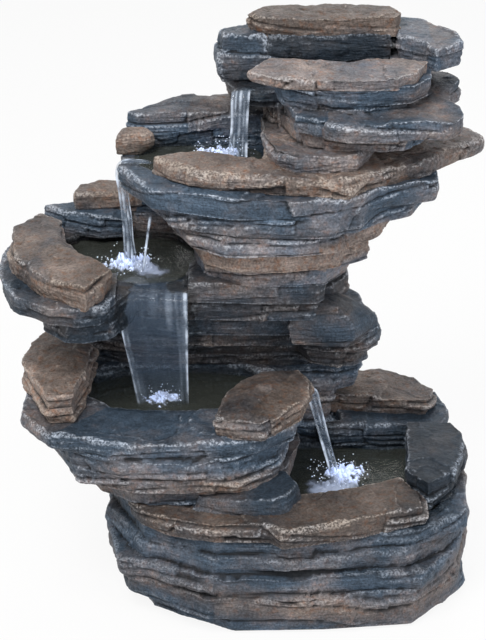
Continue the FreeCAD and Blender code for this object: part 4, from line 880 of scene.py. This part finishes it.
def makeFall(name, path, across, strands, seed, finish):
    rows, where = alongPath(path, fallGrid["along"])
    across = np.array(across, float)
    across /= np.linalg.norm(across)
    out = np.cross(across, np.gradient(rows[:, :3], axis=0))
    out /= np.linalg.norm(out, axis=1)[:, None]
    columns = np.linspace(-1, 1, fallGrid["across"])
    side, down = np.tile(columns, len(rows)), np.repeat(where, len(columns))
    half = np.repeat(rows[:, 3], len(columns))
    spot = np.column_stack([side, down, np.zeros(len(side))])

    def noise(kind, shift=0):
        grain, step = fallGrid[kind]
        return softNoise(spot * grain + (shift, 0, 0), seed + step)

    drift = fallGrid["drift"] * noise("driftGrain")
    thick = np.full(len(spot), fallGrid["thin"])
    strength = fallGrid["film"] * ramp(noise("filmGrain"), *fallGrid["filmFrom"])
    level, swing = fallGrid["pulse"]
    for place, size, power in strands:
        near = groove((side + drift - place) * half, size)
        near *= level + swing * noise("pulseGrain", place * fallGrid["strandShift"])
        thick += fallGrid["strand"] * size * near
        strength = np.maximum(strength, power * near)
    normal = np.repeat(out, len(columns), axis=0)
    middle = np.repeat(rows[:, :3], len(columns), axis=0) + across * (side * half)[:, None]
    middle += normal * (fallGrid["wobble"] * noise("wobbleGrain"))[:, None]
    swell = normal * (0.5 * thick * np.sqrt(np.clip(1 - side ** 4, 0, 1)))[:, None]
    mesh = meshFrom("water_" + name, np.vstack([middle + swell, middle - swell]),
                    sheetFaces(len(rows), len(columns)))
    piece = newPiece("water_" + name, mesh, finish)
    share = down / where[-1]
    fade = ramp(share, *fallGrid["fadeIn"]) * (1 - ramp(share, *fallGrid["fadeOut"]))
    shade = np.column_stack([np.clip(strength, 0, 1), fade, np.zeros(len(down))])
    addColours(piece.data, "flow", np.vstack([shade, shade]))


poolPaint = {
    "deep": (0.076, 0.084, 0.074, 1), "calmPaintedGlow": (0.46, 0.53, 0.68, 1), "foam": (0.68, 0.76, 0.92, 1),
    "glow": (0.48, 0.6, 1, 1), "calmTint": 0.9, "calmCover": 0.8, "calmGlow": 0.12, "grainSize": 130,
    "foamCover": (0, 1, 0.5, 0.95), "topCover": (0, 1, 0.25, 1), "foamGlow": (0.2, 1, 0, 0.8),
    "bump": (0.35, 0.0018), "shader": {"Roughness": 0.05, "IOR": 1.33, "Emission Strength": 1},
}
fallPaint = {
    "clear": (0.16, 0.23, 0.34, 1), "strand": (0.8, 0.87, 0.96, 1), "glow": (0.72, 0.82, 1, 1),
    "streaks": (0.3, 0.7, 0.55, 1.15), "cover": (0, 1, 0.12, 0.86), "strandGlow": (0.2, 1, 0, 0.42),
    "grainSize": 170, "shader": {"Roughness": 0.06, "IOR": 1.33, "Emission Strength": 1},
}


def poolWater():
    finish, tree, shader = newFinish("poolWater", **poolPaint["shader"])
    foam, calmPaintedGlow, top = readColours(tree, "foam")
    grain = addGrain(tree, poolPaint["grainSize"])
    # painted light: the calm patch is tinted pale, covered and glowing as if lit by the lamp below
    tinted, covered, lit = (times(calmPaintedGlow, poolPaint[name])
                            for name in ("calmTint", "calmCover", "calmGlow"))
    colour = mixColour(tree, tinted, poolPaint["deep"], poolPaint["calmPaintedGlow"])
    feed(mixColour(tree, foam, colour, poolPaint["foam"]), shader["Base Color"])
    cover = mathNode("MAXIMUM", spread(foam, *poolPaint["foamCover"]), covered)
    feed(times(cover, spread(top, *poolPaint["topCover"])), shader["Alpha"])
    # the foam and the calm patch glow, painted light standing in for the lamp below
    glow = greyColour(mathNode("ADD", spread(foam, *poolPaint["foamGlow"]), lit))
    feed(mixColour(tree, 1, poolPaint["glow"], glow, "MULTIPLY"), shader["Emission Color"])
    addBump(grain["Height"], *poolPaint["bump"])
    return finish


def fallingWater():
    finish, tree, shader = newFinish("fallingWater", **fallPaint["shader"])
    strength, fade, _ = readColours(tree, "flow")
    grain = addGrain(tree, fallPaint["grainSize"])
    streak = times(strength, spread(grain["Mottle"], *fallPaint["streaks"]))
    feed(mixColour(tree, streak, fallPaint["clear"], fallPaint["strand"]), shader["Base Color"])
    feed(times(fade, spread(streak, *fallPaint["cover"])), shader["Alpha"])
    # the white strands glow, painted light standing in for the lamps' light on the falling water
    glow = greyColour(spread(streak, *fallPaint["strandGlow"]))
    feed(mixColour(tree, 1, fallPaint["glow"], glow, "MULTIPLY"), shader["Emission Color"])
    return finish


stillWater = poolWater()
movingWater = fallingWater()
for name, pool in pools.items():
    makePool(name, pool, stillWater)
for seed, (name, fall) in enumerate(falls.items(), seeds["falls"]):
    makeFall(name, *fall, seed, movingWater)
print("water:", len(pools), "pools,", len(falls), "falls")

# Drops thrown up round each splash: in metres, as Geometry Nodes take them.
drops = {
    "perArea": 64000.0, "largest": 0.0006, "least": 0.4, "throw": 0.010, "seed": 5, "corners": 24,
    "lowWay": (-0.3, -0.3, 0), "highWay": (0.3, 0.3, 1), "beadFaces": 20,
    "pools": ("upperPool", "middlePool", "lowerPool", "basePool"),
    "dark": (0.45, 0.56, 0.8, 1), "pale": (0.85, 0.91, 1, 1), "mottle": (0.35, 0.65, 0, 1),
    "grainSize": 300, "shader": {"Roughness": 0.08, "Emission Strength": 0.45},
}


def dropTree():
    tree = bpy.data.node_groups.new("splashDrops", "GeometryNodeTree")
    sockets = (("Geometry", "Geometry"), ("Per Area", "Float"), ("Largest", "Float"), ("Throw", "Float"),
               ("Seed", "Int"), ("Finish", "Material"))
    for name, kind in sockets:
        tree.interface.new_socket(name, in_out="INPUT", socket_type="NodeSocket" + kind)
    tree.interface.new_socket("Geometry", in_out="OUTPUT", socket_type="NodeSocketGeometry")
    given, result = tree.nodes.new("NodeGroupInput").outputs, tree.nodes.new("NodeGroupOutput").inputs
    scatter = tree.nodes.new("GeometryNodeDistributePointsOnFaces")
    for name, socket in (("Geometry", "Mesh"), ("Per Area", "Density"), ("Seed", "Seed")):
        feed(given[name], scatter.inputs[socket])
    way = addNode(tree, "FunctionNodeRandomValue", data_type="FLOAT_VECTOR")
    feed(drops["lowWay"], way.inputs[0])
    feed(drops["highWay"], way.inputs[1])
    fling = addNode(tree, "ShaderNodeVectorMath", operation="SCALE")
    feed(way.outputs[0], fling.inputs[0])
    feed(given["Throw"], fling.inputs["Scale"])
    lift = tree.nodes.new("GeometryNodeSetPosition")
    feed(scatter.outputs["Points"], lift.inputs["Geometry"])
    feed(fling.outputs[0], lift.inputs["Offset"])
    share = addNode(tree, "FunctionNodeRandomValue", data_type="FLOAT")
    feed(drops["least"], share.inputs[2])
    feed(1, share.inputs[3])
    bead = addNode(tree, "GeometryNodeMeshIcoSphere", Radius=1, Subdivisions=1)
    place = tree.nodes.new("GeometryNodeInstanceOnPoints")
    feed(lift.outputs["Geometry"], place.inputs["Points"])
    feed(bead.outputs["Mesh"], place.inputs["Instance"])
    feed(times(share.outputs[1], given["Largest"]), place.inputs["Scale"])
    whole = tree.nodes.new("GeometryNodeRealizeInstances")
    feed(place.outputs["Instances"], whole.inputs["Geometry"])
    coat = tree.nodes.new("GeometryNodeSetMaterial")
    feed(whole.outputs["Geometry"], coat.inputs["Geometry"])
    feed(given["Finish"], coat.inputs["Material"])
    feed(coat.outputs["Geometry"], result["Geometry"])
    return tree


def dropWater():
    finish, tree, shader = newFinish("dropWater", **drops["shader"])
    grain = addGrain(tree, drops["grainSize"])
    colour = mixColour(tree, spread(grain["Mottle"], *drops["mottle"]), drops["dark"], drops["pale"])
    feed(colour, shader["Base Color"])
    # the drops glow in their own colour, painted light standing in for the lamps below
    feed(colour, shader["Emission Color"])
    return finish


def makeDrops(finish):
    points, faces = [], []
    turns = np.linspace(0, math.tau, drops["corners"], endpoint=False)
    for name in drops["pools"]:
        radius, level = churn[name][0], pools[name]["level"]
        x, y = pools[name]["splash"]
        faces.append(tuple(range(len(points), len(points) + drops["corners"])))
        points += [(x + radius * math.cos(turn), y + radius * math.sin(turn), level) for turn in turns]
    carrier = placed("carrier", meshFrom("carrier", points, faces))
    scatter = carrier.modifiers.new("drops", "NODES")
    scatter.node_group = dropTree()
    values = {"Per Area": drops["perArea"], "Largest": drops["largest"], "Throw": drops["throw"],
              "Seed": drops["seed"], "Finish": finish}
    for socket in scatter.node_group.interface.items_tree:
        if socket.name in values:
            scatter[socket.identifier] = values[socket.name]
    made = meshAfter(carrier)
    newPiece("water_drops", made, finish)
    return len(made.polygons) // drops["beadFaces"]


print("drops:", makeDrops(dropWater()))

# Pump, lamps, hose, seals and leads keep their CAD shape and get a finish for each material slot of the
# record: dark and light colour of the mottle, roughness, metallic, lumps per metre, bump depth in metres.
hardware = {
    "rubber": ((0.012, 0.012, 0.013, 1), (0.03, 0.03, 0.032, 1), 0.78, 0, 260, 0.0004),
    "pump_plastic": ((0.014, 0.015, 0.017, 1), (0.034, 0.036, 0.04, 1), 0.46, 0, 420, 0.0003),
    "dial_plastic": ((0.03, 0.07, 0.16, 1), (0.05, 0.11, 0.23, 1), 0.4, 0, 420, 0.0002),
    "rotor_plastic": ((0.42, 0.43, 0.44, 1), (0.56, 0.57, 0.58, 1), 0.42, 0, 380, 0.0002),
    "steel": ((0.43, 0.44, 0.45, 1), (0.62, 0.63, 0.64, 1), 0.3, 1, 500, 0.0001),
    "hose_vinyl": ((0.36, 0.39, 0.4, 1), (0.5, 0.53, 0.54, 1), 0.28, 0, 150, 0.0004),
    "fitting_plastic": ((0.016, 0.017, 0.019, 1), (0.04, 0.042, 0.046, 1), 0.44, 0, 400, 0.0003),
    "lamp_board": ((0.01, 0.055, 0.026, 1), (0.03, 0.12, 0.06, 1), 0.5, 0, 700, 0.0002),
    "lead_jacket": ((0.01, 0.01, 0.011, 1), (0.026, 0.026, 0.028, 1), 0.52, 0, 330, 0.0003),
    "inlet_plastic": ((0.013, 0.013, 0.014, 1), (0.036, 0.036, 0.038, 1), 0.4, 0, 420, 0.0002),
}
hardwareBump, roughnessSpread, mottle = 0.5, 0.07, (0.3, 0.7)
lampGlass = {"glow": (0.72, 0.84, 1, 1), "shade": (0.8, 1), "roughness": (0.1, 0.24), "grainSize": 900,
             "bump": (0.3, 0.0002),
             "shader": {"Base Color": (0.2, 0.22, 0.26, 1), "Emission Strength": 0.1, "IOR": 1.5}}


def hardwareFinish(name, dark, pale, roughness, metallic, lumps, depth):
    finish, tree, shader = newFinish(name, Metallic=metallic)
    grain = addGrain(tree, lumps)
    feed(mixColour(tree, spread(grain["Mottle"], *mottle, 0, 1), dark, pale), shader["Base Color"])
    low, high = roughness - roughnessSpread, roughness + roughnessSpread
    feed(spread(grain["Grain"], *mottle, low, high), shader["Roughness"])
    addBump(grain["Height"], hardwareBump, depth)
    return finish


def lampFinish():
    finish, tree, shader = newFinish("lampGlass", **lampGlass["shader"])
    grain = addGrain(tree, lampGlass["grainSize"])
    shade = greyColour(spread(grain["Mottle"], *mottle, *lampGlass["shade"]))
    feed(mixColour(tree, 1, lampGlass["glow"], shade, "MULTIPLY"), shader["Emission Color"])
    feed(spread(grain["Grain"], *mottle, *lampGlass["roughness"]), shader["Roughness"])
    addBump(grain["Height"], *lampGlass["bump"])
    return finish


finishes = {name: hardwareFinish(name, *values) for name, values in hardware.items()}
finishes["lamp_glass"] = lampFinish()
bare = [node for node in nodes if node not in rocks]
for node in bare:
    for holder in nodes[node].material_slots:
        holder.link = "OBJECT"
        holder.material = finishes[slots[node]]
print("hardware:", len(bare), "nodes,", len(finishes), "finishes")
